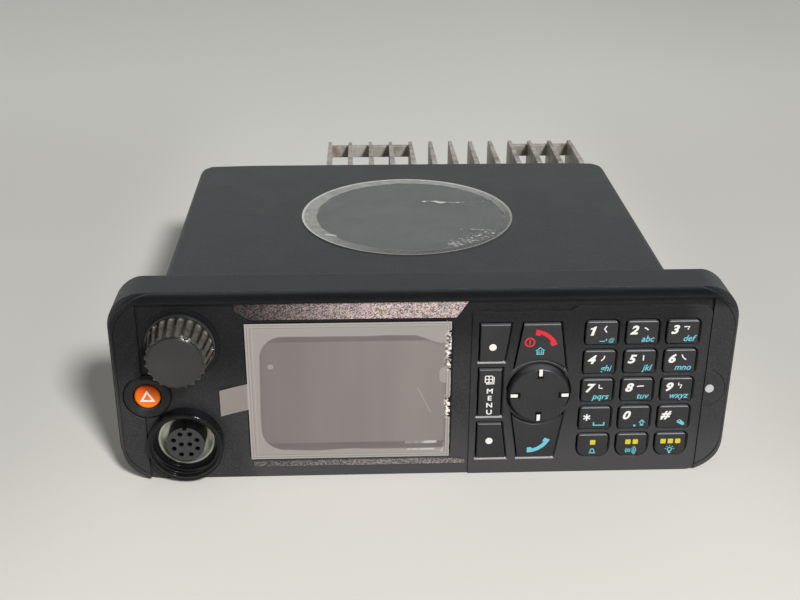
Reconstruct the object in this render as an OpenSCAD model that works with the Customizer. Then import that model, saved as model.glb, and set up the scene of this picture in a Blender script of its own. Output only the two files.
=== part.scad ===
// Two-way mobile radio: a control head with display and keypad on a finned transceiver body.
// Millimetres. X runs to the right, Y to the back and Z up. The set stands on Z = 0, and the
// origin is the middle of its footprint. Depths in the modules count back from the key faces.

$fn = 64;

/* [Head] */
// Width of the control head
head_w = 188; // [184:1:210]
// Height of the control head
head_h = 62; // [61:0.5:70]
// Depth from the key faces to the back of the head
head_d = 17.2; // [16:0.1:24]
// Corner radius of the head seen from the front
head_r = 11; // [6:0.5:13]
// Wall of the rear housing
head_wall = 2.2; // [1.8:0.1:3]
// Depth of the bezel's back behind the key faces
bezel_back = 3.6; // [3.2:0.1:4.2]
// How far the brow stands in front of the key faces
brow_reach = 0.2; // [0:0.1:0.8]
// Drop of the brow from the head's top to its front edge
brow_drop = 1.5; // [1.2:0.1:2]
// Height of the brow's blunt front edge
brow_lip = 0.6; // [0.3:0.1:0.8]
// Setback of the bezel's sides from the sides of the rear housing
bezel_step = 0.8; // [0.3:0.1:1.2]
// Corner radius of the bezel seen from the front
bezel_r = 13; // [11.5:0.5:14]
// Rounding of the bezel's side edges
side_round = 2.4; // [1:0.1:3]
// Rounding of the bezel's lower edge
bottom_round = 1.2; // [0.6:0.1:2]
// Width of the rim outside the end caps
rim_w = 1.3; // [0.8:0.1:2]
// Depth of the front face behind the key faces
face_depth = 1; // [0.8:0.1:1.4]
// Depth of the raised key field behind the key faces
field_depth = 0.4; // [0.2:0.1:0.6]
// How far the key field reaches above the top key row's middle
field_rise = 8.7; // [8:0.1:10]
// How far the key field reaches above the keys beside the navigation disc
field_step = 3.9; // [3:0.1:5]
// Distance of the key field's step to the right of the navigation disc's middle
field_step_shift = 8; // [6:0.1:10]
// Width of the small ledge round each key opening
ledge_w = 0.25; // [0.1:0.05:0.25]
// Depth of the small ledge round each key opening
ledge_depth = 0.45; // [0.2:0.05:0.8]
// Rounding of the rear housing's back edge
rear_round = 1; // [0.4:0.1:2]
// Thickness of the gasket between bezel and rear housing
gasket_t = 0.5; // [0.3:0.1:0.8]
// Width of the gasket
gasket_w = 1.4; // [0.8:0.1:1.6]
// Setback of the gasket from the outer faces
gasket_inset = 0.5; // [0.2:0.1:0.7]

/* [Ends of the head] */
// Width of an end cap with its rim
end_w = 9.3; // [8.5:0.1:10.5]
// Drop of the end caps' upper edges from the head's top
end_drop = 1; // [0.9:0.1:1.4]
// Gap between the rim and the emergency ring
emergency_rim_gap = 1.1; // [0.8:0.1:1.5]
// Gap between the emergency ring and the microphone socket
ring_gap = 0.15; // [0.1:0.01:1]
// Radius of the emergency ring
emergency_ring_r = 7.2; // [6.5:0.1:7.3]
// How far the emergency ring stands in front of the key faces
emergency_ring_reach = 0.4; // [0.1:0.1:0.8]
// Radius of the emergency button
emergency_r = 3.9; // [3.5:0.1:4.4]
// How far the emergency button lies behind its ring's rim
emergency_sunk = 0.6; // [0:0.1:0.8]
// Depth of the dish in the emergency ring
emergency_dish = 0.9; // [0.3:0.1:1.2]
// Travel of the emergency button
emergency_travel = 1; // [0.6:0.1:1]
// Radius of the half-round insert at the status light
led_insert_r = 6.4; // [5.5:0.1:6.6]
// Gap between the status light and the end cap's inner edge
led_gap = 0.45; // [0.3:0.05:1]
// Radius of the status light
led_r = 1.35; // [1:0.05:1.6]

/* [Keypad] */
// Gap between the right key column and the right end cap
keypad_end_gap = 3.5; // [3:0.1:4]
// Distance of the top key row from the head's top
keypad_drop = 13.3; // [12.8:0.1:14.5]
// Height of the lowest key row
keypad_foot = 9.74; // [9.7:0.02:11]
// Spacing of the key columns
key_pitch_x = 12.18; // [11.8:0.02:12.4]
// Rib between the key columns with its two gaps
key_rib_x = 2.58; // [2.4:0.02:3.4]
// Rib between the key rows with its two gaps
key_rib_z = 1.94; // [1.9:0.02:2.6]
// Corner radius of a key cap
cap_r = 1.3; // [0.8:0.1:2]
// Rounding of a key cap's front edges
cap_round = 0.6; // [0.3:0.05:0.7]
// Lower corner radius of a function key
function_r = 3.4; // [2:0.1:3.8]
// Travel of a key
key_travel = 0.7; // [0.4:0.05:0.7]
// Thickness of the flange that holds a key in
flange_t = 0.8; // [0.5:0.1:0.8]
// How far the flange stands out past the key
flange_grow = 0.75; // [0.6:0.05:0.8]

/* [Navigation keys] */
// Gap between the keypad and the rib round the navigation disc
nav_keypad_gap = 2.14; // [1.8:0.02:3]
// Distance of the keys above the navigation disc from the head's top
nav_top_gap = 9.95; // [9.8:0.05:11]
// Distance of the keys below the navigation disc from the head's bottom
nav_low_gap = 5.85; // [5.8:0.05:7]
// Radius of the navigation disc
nav_r = 9.4; // [8.5:0.1:9.6]
// Thickness of the navigation disc behind the key faces
nav_t = 3.2; // [2.6:0.1:3.2]
// How far the navigation disc stands in front of the key faces
nav_rise = 1.9; // [0.5:0.1:2.5]
// Width of the navigation disc's rounded edge
nav_edge = 1.1; // [0.8:0.1:1.5]
// Width of the rib round the navigation disc
nav_rib_w = 1; // [0.6:0.1:1.2]
// Radius of the ball that the navigation disc tilts on
nav_ball_r = 1.6; // [1.2:0.1:1.6]
// Half width of the end and send keys at the outer edge
call_far_w = 5.4; // [5:0.1:6]
// Half width of the end and send keys beside the disc
call_near_w = 8.1; // [7.5:0.1:8.2]
// Width of a soft key at its outer edge
soft_far_w = 9; // [8.5:0.1:9.2]
// Width of a soft key beside the menu key
soft_near_w = 7.3; // [7:0.1:7.5]
// Distance of the soft keys' inner edges above and below the disc's centre
soft_near = 10.75; // [10.6:0.05:11]
// Width of the menu key
menu_w = 7; // [6.5:0.1:7.2]
// Gap between the menu key and a soft key
menu_gap = 2.65; // [2.5:0.05:4]

/* [Knob] */
// Gap between the left end cap and the knob
knob_end_gap = 1.7; // [0.8:0.1:2.5]
// Height of the knob's axis as a share of the head's height
knob_level = 0.7516; // [0.745:0.0001:0.76]
// How far the knob stands in front of the key faces
knob_reach = 11; // [9:0.5:14]
// Width of the knob's foot as a share of the head's height
knob_share = 0.3355; // [0.3:0.0005:0.34]
// How much smaller the knob's front face is than its foot, on the radius
knob_taper = 2.5; // [1.5:0.1:3]
// How far the grip ribs stand out past the knob's front face, on the radius
knob_rib = 1; // [0.6:0.1:1.2]
// Depth of the slope from the grip ribs to the knob's smooth cap
knob_cap_t = 1.1; // [0.8:0.1:1.5]
// Number of grip flutes
knob_flutes = 22; // [12:1:24]
// Radius of a grip flute
flute_r = 1.05; // [0.8:0.05:1.1]
// Thickness of the knob's front
knob_front_t = 3; // [2:0.1:4]
// Radius of the encoder shaft
shaft_r = 3; // [2:0.1:3.2]
// Travel of the knob when it is pushed
knob_travel = 0.5; // [0.3:0.1:0.5]

/* [Display] */
// Gap between the microphone socket and the window
window_mic_gap = 7.8; // [7.4:0.1:9]
// Gap between the window and the soft keys
window_gap = 8.2; // [7.8:0.1:12]
// Lower edge of the window
window_z = 6.2; // [6.1:0.1:6.6]
// Distance of the window's top from the head's top
window_drop = 8.8; // [8.6:0.1:12]
// Gap between the window and the upper trim strip
trim_gap = 1.2; // [0.8:0.1:1.6]
// Thickness of the window
window_t = 1.3; // [0.8:0.1:1.4]
// Border of the window outside the visible screen
window_border = 3.6; // [3:0.1:5]
// Thickness of the protective film
film_t = 0.12; // [0.08:0.02:0.2]
// Length of the film's pull tab
tab_len = 8.4; // [4:0.1:10]
// Height of the film's pull tab
tab_h = 9.2; // [6:0.1:12]
// Distance of the tab's middle below the window's middle
tab_drop = 1.3; // [0:0.1:6]
// How far the tab's free end hangs down
tab_sag = 1.8; // [0:0.1:3]
// Height of the upper trim strip
trim_h = 5.4; // [4:0.1:5.6]
// Height of the lower trim strip
trim_low_h = 1.8; // [1:0.1:2.2]
// Thickness of the trim strips
trim_t = 0.5; // [0.3:0.1:0.7]

/* [Microphone socket] */
// Gap between the left end cap and the microphone socket
mic_end_gap = 0.2; // [0.2:0.1:0.6]
// Height of the microphone socket's axis
mic_z = 13.8; // [13.2:0.1:14]
// How far the socket's rim stands in front of the key faces
mic_reach = 3.4; // [2:0.1:5]
// Outer radius of the rim
mic_rim_r = 11.4; // [10.8:0.1:11.5]
// Radius of the socket's bore
mic_bore_r = 9.6; // [8.8:0.1:9.8]
// Depth of the wider mouth of the bore
mic_mouth_depth = 0.8; // [0.6:0.1:0.9]
// How much wider the mouth is than the bore, on the radius
mic_mouth_grow = 0.9; // [0.3:0.1:1]
// How far the bulge below the rim hangs down
mic_bulge_drop = 1.1; // [0.6:0.1:1.6]
// Depth of the metal shell's front edge behind the key faces
mic_shell_front = 1; // [0.5:0.1:2.5]
// Radius of the metal shell
mic_shell_r = 8.5; // [8:0.1:8.6]
// Wall of the metal shell at its front edge
mic_shell_rim = 0.6; // [0.4:0.1:0.8]
// Depth of the metal shell's cup floor behind the key faces
mic_cup_depth = 5; // [4:0.1:5.5]
// Wall of the metal shell round the insert's base
mic_shell_wall = 1.2; // [1:0.1:2]
// Radius of the contact insert
mic_insert_r = 5.8; // [5:0.1:6]
// How far the contact insert stands in front of the key faces
mic_insert_reach = 1.7; // [0:0.1:2.5]
// Radius of a contact hole
mic_contact_r = 0.75; // [0.4:0.05:0.8]

/* [Body] */
// Width of the chassis
body_w = 170; // [166:1:180]
// Height of the body
body_h = 46.4; // [44:0.2:52]
// Setback of the top cover from the chassis sides
cover_step = 0.5; // [0.2:0.1:2]
// Length of the top cover
cover_len = 149.8; // [140:0.2:165]
// How much the cover's back edge is bowed
cover_bow = 3; // [1:0.1:5]
// Corner radius of the cover's back
cover_r = 12; // [4:0.5:14]
// Rounding of the cover's upper edges
cover_round = 2; // [1:0.1:3]
// Thickness of the cover's top
cover_t = 2.6; // [2:0.1:3.5]
// Wall of the cover
cover_wall = 2.2; // [1.6:0.1:3]
// Overhang of the cover behind the chassis wall
cover_overhang = 4; // [3.5:0.1:6]
// Height of the chassis sides
tray_h = 24; // [20:0.5:26]
// Wall of the chassis
tray_wall = 5; // [4:0.1:6]
// Floor of the chassis
tray_floor = 3; // [2.4:0.1:4]
// Thickness of the chassis front wall
tray_front = 3; // [2.4:0.1:4]
// Rounding of the chassis' lower edges
tray_round = 2; // [1:0.1:3]
// Thickness of the cover gasket
cover_gasket_t = 0.5; // [0.3:0.1:0.8]
// Radius of the badge plate
badge_r = 35.2; // [20:0.1:45]
// Thickness of the badge plate
badge_t = 0.6; // [0.4:0.1:1]
// Distance of the badge's centre from the head's back
badge_back = 88.6; // [70:0.1:95]
// How far the badge film stands out past the badge
badge_film_grow = 4.4; // [1:0.1:6]
// Sideways shift of the film on the badge
badge_film_shift = -1; // [-3:0.1:3]
// Thickness of the badge film
badge_film_t = 0.15; // [0.1:0.05:0.3]

/* [Cooling fins] */
// How far the fins reach behind the cover
fin_reach = 35.8; // [20:0.2:40]
// Number of fins
fin_count = 13; // [9:1:14]
// Gap between the accessory socket and the first fin's middle
fin_socket_gap = 7.8; // [4:0.1:12]
// Distance of the last fin from the cover's right side
fin_last_inset = 7.7; // [5:0.1:20]
// Thickness of a fin at its root
fin_root_t = 2.4; // [2:0.1:3]
// Thickness of a fin at its tip
fin_tip_t = 1.4; // [1:0.1:2]
// Clearance of the fins above the table
fin_bottom = 5; // [3:0.5:10]
// Depth of the fins' tops below the body's top
fin_drop = 0.2; // [0.1:0.1:2]
// Number of fins that the left cross bar joins
fin_left_bar = 5; // [3:1:5]
// Number of fins that the right cross bar joins
fin_right_bar = 4; // [3:1:4]
// Height of a cross bar
fin_bar_h = 5; // [3:0.1:8]
// Thickness of a cross bar
fin_bar_t = 2.2; // [1.5:0.1:3]

/* [Sockets at the back] */
// Distance of the antenna socket from the cover's left side
antenna_inset = 12; // [10:0.5:14]
// Distance of the antenna and power sockets from the body's top
antenna_drop = 13.4; // [12.5:0.1:15]
// Radius of the antenna socket's barrel
antenna_r = 4.8; // [4:0.1:5.5]
// How far the antenna socket stands out
antenna_len = 13; // [10:0.5:16]
// Distance of the power socket from the cover's left side
power_inset = 34; // [32:0.5:35]
// Width of the power socket
power_w = 17; // [15:0.5:18]
// Height of the power socket
power_h = 12; // [11:0.5:13]
// Distance of the accessory socket from the cover's left side
accessory_inset = 26; // [25:0.5:27]
// Width of the accessory socket
accessory_w = 39; // [36:0.5:40]
// Height of the accessory socket
accessory_h = 12.5; // [11:0.5:13]
// Height of the accessory socket's middle
accessory_z = 13; // [12:0.5:14]
// How far the power and accessory sockets stand out
socket_len = 9; // [7:0.5:12]
// Wall of the power and accessory sockets
socket_wall = 1.2; // [0.8:0.1:1.5]

/* [Boards and fasteners] */
// Depth of the head board's front behind the key faces
board_y = 6.2; // [6.2:0.1:7]
// Thickness of the circuit boards
board_t = 1.6; // [1:0.1:2]
// Height of the main board's underside
main_board_z = 10; // [8:0.5:12]
// Distance of the main board from the head's back
main_board_front = 8; // [6:0.5:12]
// Distance of the main board from the rear wall
main_board_back = 7; // [5:0.5:12]
// Setback of the main board from the inside of the cover
main_board_setback = 14.5; // [13.5:0.5:20]
// Setback of the shield from the main board's sides
shield_side = 14; // [13:0.5:20]
// Setback of the shield from the main board's front
shield_front = 30; // [25:0.5:40]
// Setback of the shield from the main board's back
shield_back = 4; // [2:0.5:10]
// Height of the shield
shield_h = 7; // [5:0.5:9]
// Wall of the shield
shield_wall = 0.6; // [0.4:0.1:1]
// Height of the connector between head and body
connector_h = 8; // [6:0.5:9]
// How far the connector between head and body reaches over the main board
connector_reach = 8; // [5:0.5:12]
// Half width of the connector between head and body
connector_half = 18; // [14:0.5:22]
// Shank radius of the screws
screw_r = 1.5; // [1.2:0.1:1.6]
// Head radius of the screws
screw_head_r = 2.6; // [2.2:0.1:2.8]
// Head height of the screws
screw_head_h = 1.4; // [1:0.1:1.6]
// Distance of the cover's front posts from the head's back
post_front = 13; // [10:0.5:20]
// Distance of the cover's back posts from the rear wall
post_back = 8; // [6:0.5:14]
// Distance of the cover's posts from the rear wall's ends
post_side = 6.5; // [5:0.5:7]
// Radius of the bosses that the screws hold in
boss_r = 3.2; // [2.8:0.1:3.4]
// Radius of the slim bosses in the head
head_boss_r = 2.1; // [2:0.1:2.2]
// Shank radius of the screws in the head
head_screw_r = 1; // [0.8:0.1:1.1]
// Gap between the head's screws and the edges of the window and the soft keys
head_screw_gap = 4.3; // [4:0.1:5]
// Distance of the head's upper screws from its top
head_screw_drop = 6.4; // [6:0.1:7]
// Height of the head's lower screws
head_screw_foot = 4.9; // [4.7:0.1:5.5]
// Distance of the two screws at the right end from the head's side
end_screw_inset = 7; // [6:0.1:8]
// Distance of the upper screw at the right end from the head's top
end_screw_drop = 15; // [13:0.5:18]
// Height of the lower screw at the right end
end_screw_foot = 12; // [11:0.5:15]
// Distance of the main board's front screws from its front
board_screw_front = 11; // [8:0.5:14]
// Distance of the main board's back screws from its back
board_screw_back = 9; // [7:0.5:12]
// Depth of the screw holes in the cover's posts
post_hole = 9; // [8.5:0.5:12]
// Distance of the screws between head and body from the head's ends
joint_inset = 44; // [41:0.5:50]
// Height of the lower screws between head and body
joint_low = 7; // [6:0.5:7.5]
// Distance between the lower and the upper screws between head and body
joint_rise = 11; // [9:0.5:12]
// Radius of the side threads for a bracket
bracket_r = 2.1; // [1.6:0.1:2.5]
// Depth of the side threads
bracket_depth = 9; // [7:0.5:10]
// Distance of the front side thread from the head's back
bracket_first = 36; // [30:0.5:45]
// Spacing of the two threads on a side
bracket_pitch = 70; // [50:0.5:80]
// Height of the side threads
bracket_z = 12; // [9:0.5:14]

/* [Clearances] */
// Gap round the keys
key_gap = 0.4; // [0.3:0.05:0.45]
// Gap round the navigation disc
nav_gap = 0.5; // [0.4:0.05:0.6]
// Gap behind the bezel in front of the key flanges
flange_gap = 0.2; // [0.1:0.05:0.3]
// Gap that is left under a pressed key
stop_gap = 0.15; // [0.1:0.05:0.2]
// Gap round pieces that are let in or pass through
seat_gap = 0.15; // [0.05:0.05:0.3]
// Radial clearance of what turns or slides in a bore
run_gap = 0.05; // [0.02:0.01:0.1]

/* [Hidden] */
left_x = -head_w/2;
right_x = head_w/2;
body_y = head_d;
cover_back = head_d + cover_len;
rear_y = cover_back - cover_overhang;
total_d = cover_back + fin_reach;
front_y = -(total_d - knob_reach)/2;
over = 1;

recess_top = head_h - brow_drop - brow_lip;
end_line = right_x - end_w;
brow_r = (pow(bezel_back + brow_reach, 2) + pow(brow_drop, 2))/(2*brow_drop);
rear_front = bezel_back + gasket_t;
rear_wall_y = head_d - head_wall;

key_rows = 5;
keypad_z = head_h - keypad_drop;
key_pitch_z = (keypad_z - keypad_foot)/(key_rows - 1);
cap_w = key_pitch_x - key_rib_x;
cap_h = key_pitch_z - key_rib_z;

mic_x = left_x + end_w + mic_end_gap + mic_rim_r;
nav_guard_r = nav_r + nav_gap + nav_rib_w;
emergency_x = left_x + bezel_step + rim_w + emergency_rim_gap + emergency_ring_r;
ends_z = mic_z + sqrt(pow(mic_rim_r + emergency_ring_r + ring_gap, 2) - pow(mic_x - emergency_x, 2));
led_x = end_line + led_r + led_gap;
nav_x = key_x(0) - cap_w/2 - nav_keypad_gap - nav_guard_r;
nav_z = (head_h - nav_top_gap + nav_low_gap)/2;
nav_far = (head_h - nav_top_gap - nav_low_gap)/2;
nav_ball_y = board_y - nav_ball_r - 0.2;
nav_hub_r = nav_ball_r + 1;
knob_z = knob_level*head_h;
knob_base_r = knob_share*head_h/2;
knob_x = left_x + end_w + knob_end_gap + knob_base_r;
knob_front_r = knob_base_r - knob_taper;
knob_back = face_depth - knob_travel - 0.3;
knob_foot_h = 0.9;
mic_tube_r = mic_bore_r + 1;
mic_back = board_y + board_t + 1.2;
mic_base_y = mic_back - 2;
mic_base_r = mic_shell_r - mic_shell_wall;
soft_x = nav_x - nav_guard_r - key_gap - menu_w;
menu_h = 2*(soft_near - menu_gap);

flange_y = bezel_back + flange_gap;
dome_y = flange_y + flange_t + key_travel + stop_gap;
dome_sheet_t = 0.2;
shaft_end = board_y - knob_travel - 0.82;
plunger_r = shaft_r + 0.4;
encoder_half = 6;

window_x = mic_x + mic_rim_r + window_mic_gap;
window_w = soft_x - window_gap - window_x;
window_h = head_h - window_drop - window_z;
window_mid_z = window_z + window_h/2;
window_front = face_depth - 0.1;
trim_z = window_z + window_h + trim_gap;
lcd_front = bezel_back + 0.6;

cover_w = body_w - 2*cover_step;
cover_half = cover_w/2;
cover_bow_r = (pow(cover_half, 2) + pow(cover_bow, 2))/(2*cover_bow);
cover_z = tray_h + cover_gasket_t;
cover_under = body_h - cover_t;
rear_top = cover_under - seat_gap;
rear_t = 5;
rear_half = cover_half - cover_wall - 0.3;
fin_top = body_h - fin_drop;
fin_first_x = accessory_inset + accessory_w/2 + fin_socket_gap - cover_half;
fin_pitch = (cover_half - fin_last_inset - fin_first_x)/(fin_count - 1);
badge_y = body_y + badge_back;
post_x = rear_half - post_side;
main_board_half = rear_half - main_board_setback;
shield_half = main_board_half - shield_side;
post_y = [body_y + post_front, rear_y - rear_t - post_back];
post_z = 12;
board_y0 = body_y + main_board_front;
board_y1 = rear_y - rear_t - main_board_back;
board_screw_x = main_board_half - 5;
board_screw_y = [board_y0 + board_screw_front, board_y1 - board_screw_back];
main_board_top = main_board_z + board_t;
joint_x = right_x - joint_inset;
joint_z = [joint_low, joint_low + joint_rise];
head_bosses = concat([for (edge = [window_x, soft_x], z = [head_h - head_screw_drop, head_screw_foot])
                          [edge - head_screw_gap, z]],
                     [for (z = [head_h - end_screw_drop, end_screw_foot]) [right_x - end_screw_inset, z]]);
bracket_y = [body_y + bracket_first, body_y + bracket_first + bracket_pitch];

black_plastic = [0.16, 0.165, 0.17];
key_plastic = [0.13, 0.135, 0.14];
gloss_plastic = [0.08, 0.08, 0.085];
cover_grey = [0.28, 0.285, 0.29];
cast_grey = [0.5, 0.48, 0.45];
rubber_black = [0.06, 0.06, 0.06];
board_green = [0.08, 0.3, 0.16];
steel_grey = [0.68, 0.68, 0.7];
clear_film = [0.72, 0.7, 0.68, 0.7];

// Shapes that repeat

function key_x(column) = end_line - keypad_end_gap - cap_w/2 - (2 - column)*key_pitch_x;
function key_z(row) = keypad_z - row*key_pitch_z;

function arc(cx, cy, r, from, to, steps = 10) =
    [for (i = [0:steps])
        let (a = from + (to - from)*i/steps)
            [cx + r*cos(a), cy + r*sin(a)]];

// Outline of a block of depth d whose two front edges at u0 and u1 are rounded
function front_rounded(u0, u1, d0, d1, r) =
    concat([[d1, u0]], arc(d0 + r, u0 + r, r, 270, 180), arc(d0 + r, u1 - r, r, 180, 90), [[d1, u1]]);

function swapped(points) = [for (p = points) [p[1], p[0]]];

// A shape drawn in X and Z, carried from depth y0 back to y1
module slab(y0, y1) {
    translate([0, front_y + y1, 0])
        rotate([90, 0, 0])
            linear_extrude(height = y1 - y0)
                children();
}

// A shape drawn in X and depth, carried from z0 up to z1
module plate(z0, z1) {
    translate([0, front_y, z0])
        linear_extrude(height = z1 - z0)
            children();
}

// A shape drawn in depth and Z, carried from x0 across to x1
module beam(x0, x1) {
    translate([x0, front_y, 0])
        rotate([90, 0, 90])
            linear_extrude(height = x1 - x0)
                children();
}

// A round rod along the depth
module rod(x, z, r, y0, y1) {
    translate([x, front_y + y1, z])
        rotate([90, 0, 0])
            cylinder(r = r, h = y1 - y0);
}

// An upright round post
module post(x, y, r, z0, z1) {
    translate([x, front_y + y, z0])
        cylinder(r = r, h = z1 - z0);
}

module block(x0, x1, y0, y1, z0, z1) {
    translate([x0, front_y + y0, z0])
        cube([x1 - x0, y1 - y0, z1 - z0]);
}

// A frame for round pieces: its Z axis points out of the front
module on_axis(x, z, y) {
    translate([x, front_y + y, z])
        rotate([90, 0, 0])
            children();
}

// A rectangle about its middle with one corner radius above and one below
module two_radius_rect(w, h, upper_r, lower_r) {
    translate([-w/2, lower_r - h/2])
        square([w, h - upper_r - lower_r]);
    translate([upper_r - w/2, 0])
        square([w - 2*upper_r, h/2]);
    translate([lower_r - w/2, -h/2])
        square([w - 2*lower_r, h/2]);
    for (side = [-1, 1]) {
        translate([side*(w/2 - upper_r), h/2 - upper_r])
            circle(r = upper_r);
        translate([side*(w/2 - lower_r), lower_r - h/2])
            circle(r = lower_r);
    }
}

module round_rect(w, h, r) {
    two_radius_rect(w, h, r, r);
}

// The front views of the head and of its bezel, drawn in by inset
module head_outline(inset) {
    translate([0, head_h/2])
        round_rect(head_w - 2*inset, head_h - 2*inset, head_r - inset);
}

module bezel_outline(inset) {
    translate([0, head_h/2])
        round_rect(head_w - 2*(bezel_step + inset), head_h - 2*inset, bezel_r - inset);
}

// Control head shell

module bezel_envelope() {
    brow_from = atan2(brow_r - brow_drop, -(bezel_back + brow_reach));
    lower = arc(bottom_round - brow_reach, bottom_round, bottom_round, 270, 180);
    brow = arc(bezel_back, head_h - brow_r, brow_r, brow_from, 90);
    plan = front_rounded(left_x + bezel_step, right_x - bezel_step, -brow_reach, bezel_back, side_round);
    intersection() {
        slab(-brow_reach, bezel_back)
            bezel_outline(0);
        beam(left_x, right_x)
            polygon(concat([[bezel_back, 0]], lower, brow));
        plate(0, head_h)
            polygon(swapped(plan));
    }
}

// The right end of the front face inside its rim, drawn in by inset
module end_outline(inset) {
    w = head_w - 2*(bezel_step + rim_w + inset);
    h = head_h - end_drop - rim_w - 2*inset;
    intersection() {
        translate([0, rim_w + inset + h/2])
            round_rect(w, h, bezel_r - rim_w - inset);
        translate([end_line + inset, 0])
            square([end_w, head_h]);
    }
}

// What lies behind the brow and between the rims
module face_recess() {
    translate([-end_line, -over])
        square([2*end_line, recess_top + over]);
    for (turn = [0, 1])
        mirror([turn, 0])
            end_outline(0);
}

module key_field_outline() {
    field_left = soft_x - 2.4;
    step_x = nav_x + field_step_shift;
    step_z = nav_z + nav_far + field_step;
    field_top = keypad_z + field_rise;
    corner = 2;
    polygon([[field_left, 0], [end_line, 0], [end_line, field_top - corner], [end_line - corner, field_top],
             [step_x + corner, field_top], [step_x, step_z], [field_left, step_z]]);
}

module keypad_outline(column, row, grow) {
    translate([key_x(column), key_z(row)])
        round_rect(cap_w + 2*grow, cap_h + 2*grow, cap_r + grow);
}

module function_outline(column, grow) {
    translate([key_x(column), key_z(key_rows - 1)])
        two_radius_rect(cap_w + 2*grow, cap_h + 2*grow, cap_r + grow, function_r + grow);
}

// side is 1 above the navigation disc and -1 below it
module soft_outline(side, grow) {
    translate([soft_x, nav_z])
        polygon([[-grow, side*(soft_near - grow)], [soft_near_w + grow, side*(soft_near - grow)],
                 [soft_far_w + grow, side*(nav_far + grow)], [-grow, side*(nav_far + grow)]]);
}

module menu_outline(grow) {
    translate([soft_x - grow, nav_z - menu_h/2 - grow])
        square([menu_w + 2*grow, menu_h + 2*grow]);
}

module call_outline(side, grow) {
    guard = nav_guard_r + key_gap - grow;
    near = nav_guard_r/2;
    translate([nav_x, nav_z])
        difference() {
            polygon([[-call_far_w - grow, side*(nav_far + grow)], [call_far_w + grow, side*(nav_far + grow)],
                     [call_near_w + grow, side*near], [-call_near_w - grow, side*near]]);
            circle(r = guard);
        }
}

module key_openings(grow) {
    for (column = [0:2]) {
        for (row = [0:key_rows - 2])
            keypad_outline(column, row, grow);
        function_outline(column, grow);
    }
    for (side = [-1, 1]) {
        soft_outline(side, grow);
        call_outline(side, grow);
    }
    menu_outline(grow);
}

module window_outline(inset) {
    translate([window_x + window_w/2, window_mid_z])
        round_rect(window_w - 2*inset, window_h - 2*inset, 2);
}

module head_bezel() {
    color(black_plastic)
        difference() {
            union() {
                difference() {
                    bezel_envelope();
                    slab(-brow_reach - over, face_depth)
                        face_recess();
                }
                intersection() {
                    slab(field_depth, bezel_back)
                        key_field_outline();
                    bezel_envelope();
                }
                for (p = head_bosses)
                    rod(p[0], p[1], head_boss_r, face_depth + over, board_y);
            }
            slab(-over, bezel_back + over)
                key_openings(key_gap);
            slab(-over, field_depth + ledge_depth)
                key_openings(key_gap + ledge_w);
            rod(nav_x, nav_z, nav_r + nav_gap, -over, bezel_back + over);
            slab(-over, window_front + window_t)
                window_outline(-seat_gap);
            slab(0, bezel_back + over)
                window_outline(window_border);
            rod(knob_x, knob_z, shaft_r + 1.6, -over, bezel_back + over);
            rod(knob_x, knob_z, knob_base_r + 1.2, -over, face_depth + 0.3);
            rod(mic_x, mic_z, mic_tube_r + seat_gap, -over, bezel_back + over);
            rod(emergency_x, ends_z, emergency_r + key_gap, -over, bezel_back + over);
            rod(led_x, ends_z, led_r + seat_gap, -over, bezel_back + over);
            for (p = head_bosses)
                rod(p[0], p[1], head_screw_r + run_gap, bezel_back - 0.6, board_y + over);
        }
}

module head_rear_housing() {
    flat = front_rounded(left_x, right_x, -head_d, -rear_front, rear_round);
    upright = front_rounded(0, head_h, -head_d, -rear_front, rear_round);
    color(black_plastic)
        difference() {
            union() {
                difference() {
                    intersection() {
                        slab(rear_front, head_d)
                            head_outline(0);
                        plate(0, head_h)
                            polygon([for (p = flat) [p[1], -p[0]]]);
                        beam(left_x, right_x)
                            polygon([for (p = upright) [-p[0], p[1]]]);
                    }
                    slab(rear_front - over, rear_wall_y)
                        head_outline(head_wall);
                }
                for (p = head_bosses)
                    rod(p[0], p[1], head_boss_r, board_y + board_t, rear_wall_y + over);
                for (side = [-1, 1], z = joint_z)
                    rod(side*joint_x, z, boss_r, rear_wall_y - 4, rear_wall_y + over);
            }
            for (p = head_bosses) {
                rod(p[0], p[1], head_screw_r + seat_gap, board_y, head_d + over);
                rod(p[0], p[1], head_boss_r - 0.2, head_d - screw_head_h, head_d + over);
            }
            for (side = [-1, 1], z = joint_z)
                rod(side*joint_x, z, screw_r + run_gap, rear_wall_y - 3, head_d + over);
            slab(rear_wall_y - over, head_d + over)
                connector_window();
        }
}

module head_gasket() {
    color(rubber_black)
        slab(bezel_back, rear_front)
            difference() {
                bezel_outline(gasket_inset);
                bezel_outline(gasket_inset + gasket_w);
            }
}

// The end caps fill the ends of the front face, and their tops follow the brow
module end_cap() {
    intersection() {
        slab(0, face_depth)
            end_outline(seat_gap);
        bezel_envelope();
    }
}

module left_end_cap() {
    color(black_plastic)
        difference() {
            mirror([1, 0, 0])
                end_cap();
            rod(emergency_x, ends_z, emergency_ring_r + seat_gap, -over, face_depth + over);
        }
}

module right_end_cap() {
    color(black_plastic)
        difference() {
            end_cap();
            rod(end_line, ends_z, led_insert_r + seat_gap, -over, face_depth + over);
        }
}

module emergency_ring() {
    rim = 1.1;
    height = face_depth + emergency_ring_reach;
    color(gloss_plastic)
        on_axis(emergency_x, ends_z, face_depth)
            rotate_extrude()
                polygon(concat([[emergency_r + key_gap, 0]],
                               arc(emergency_ring_r - rim, height - rim, rim, 0, 90),
                               [[emergency_r + key_gap, height - emergency_dish]],
                               [[emergency_r + key_gap, 0]]));
}

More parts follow.
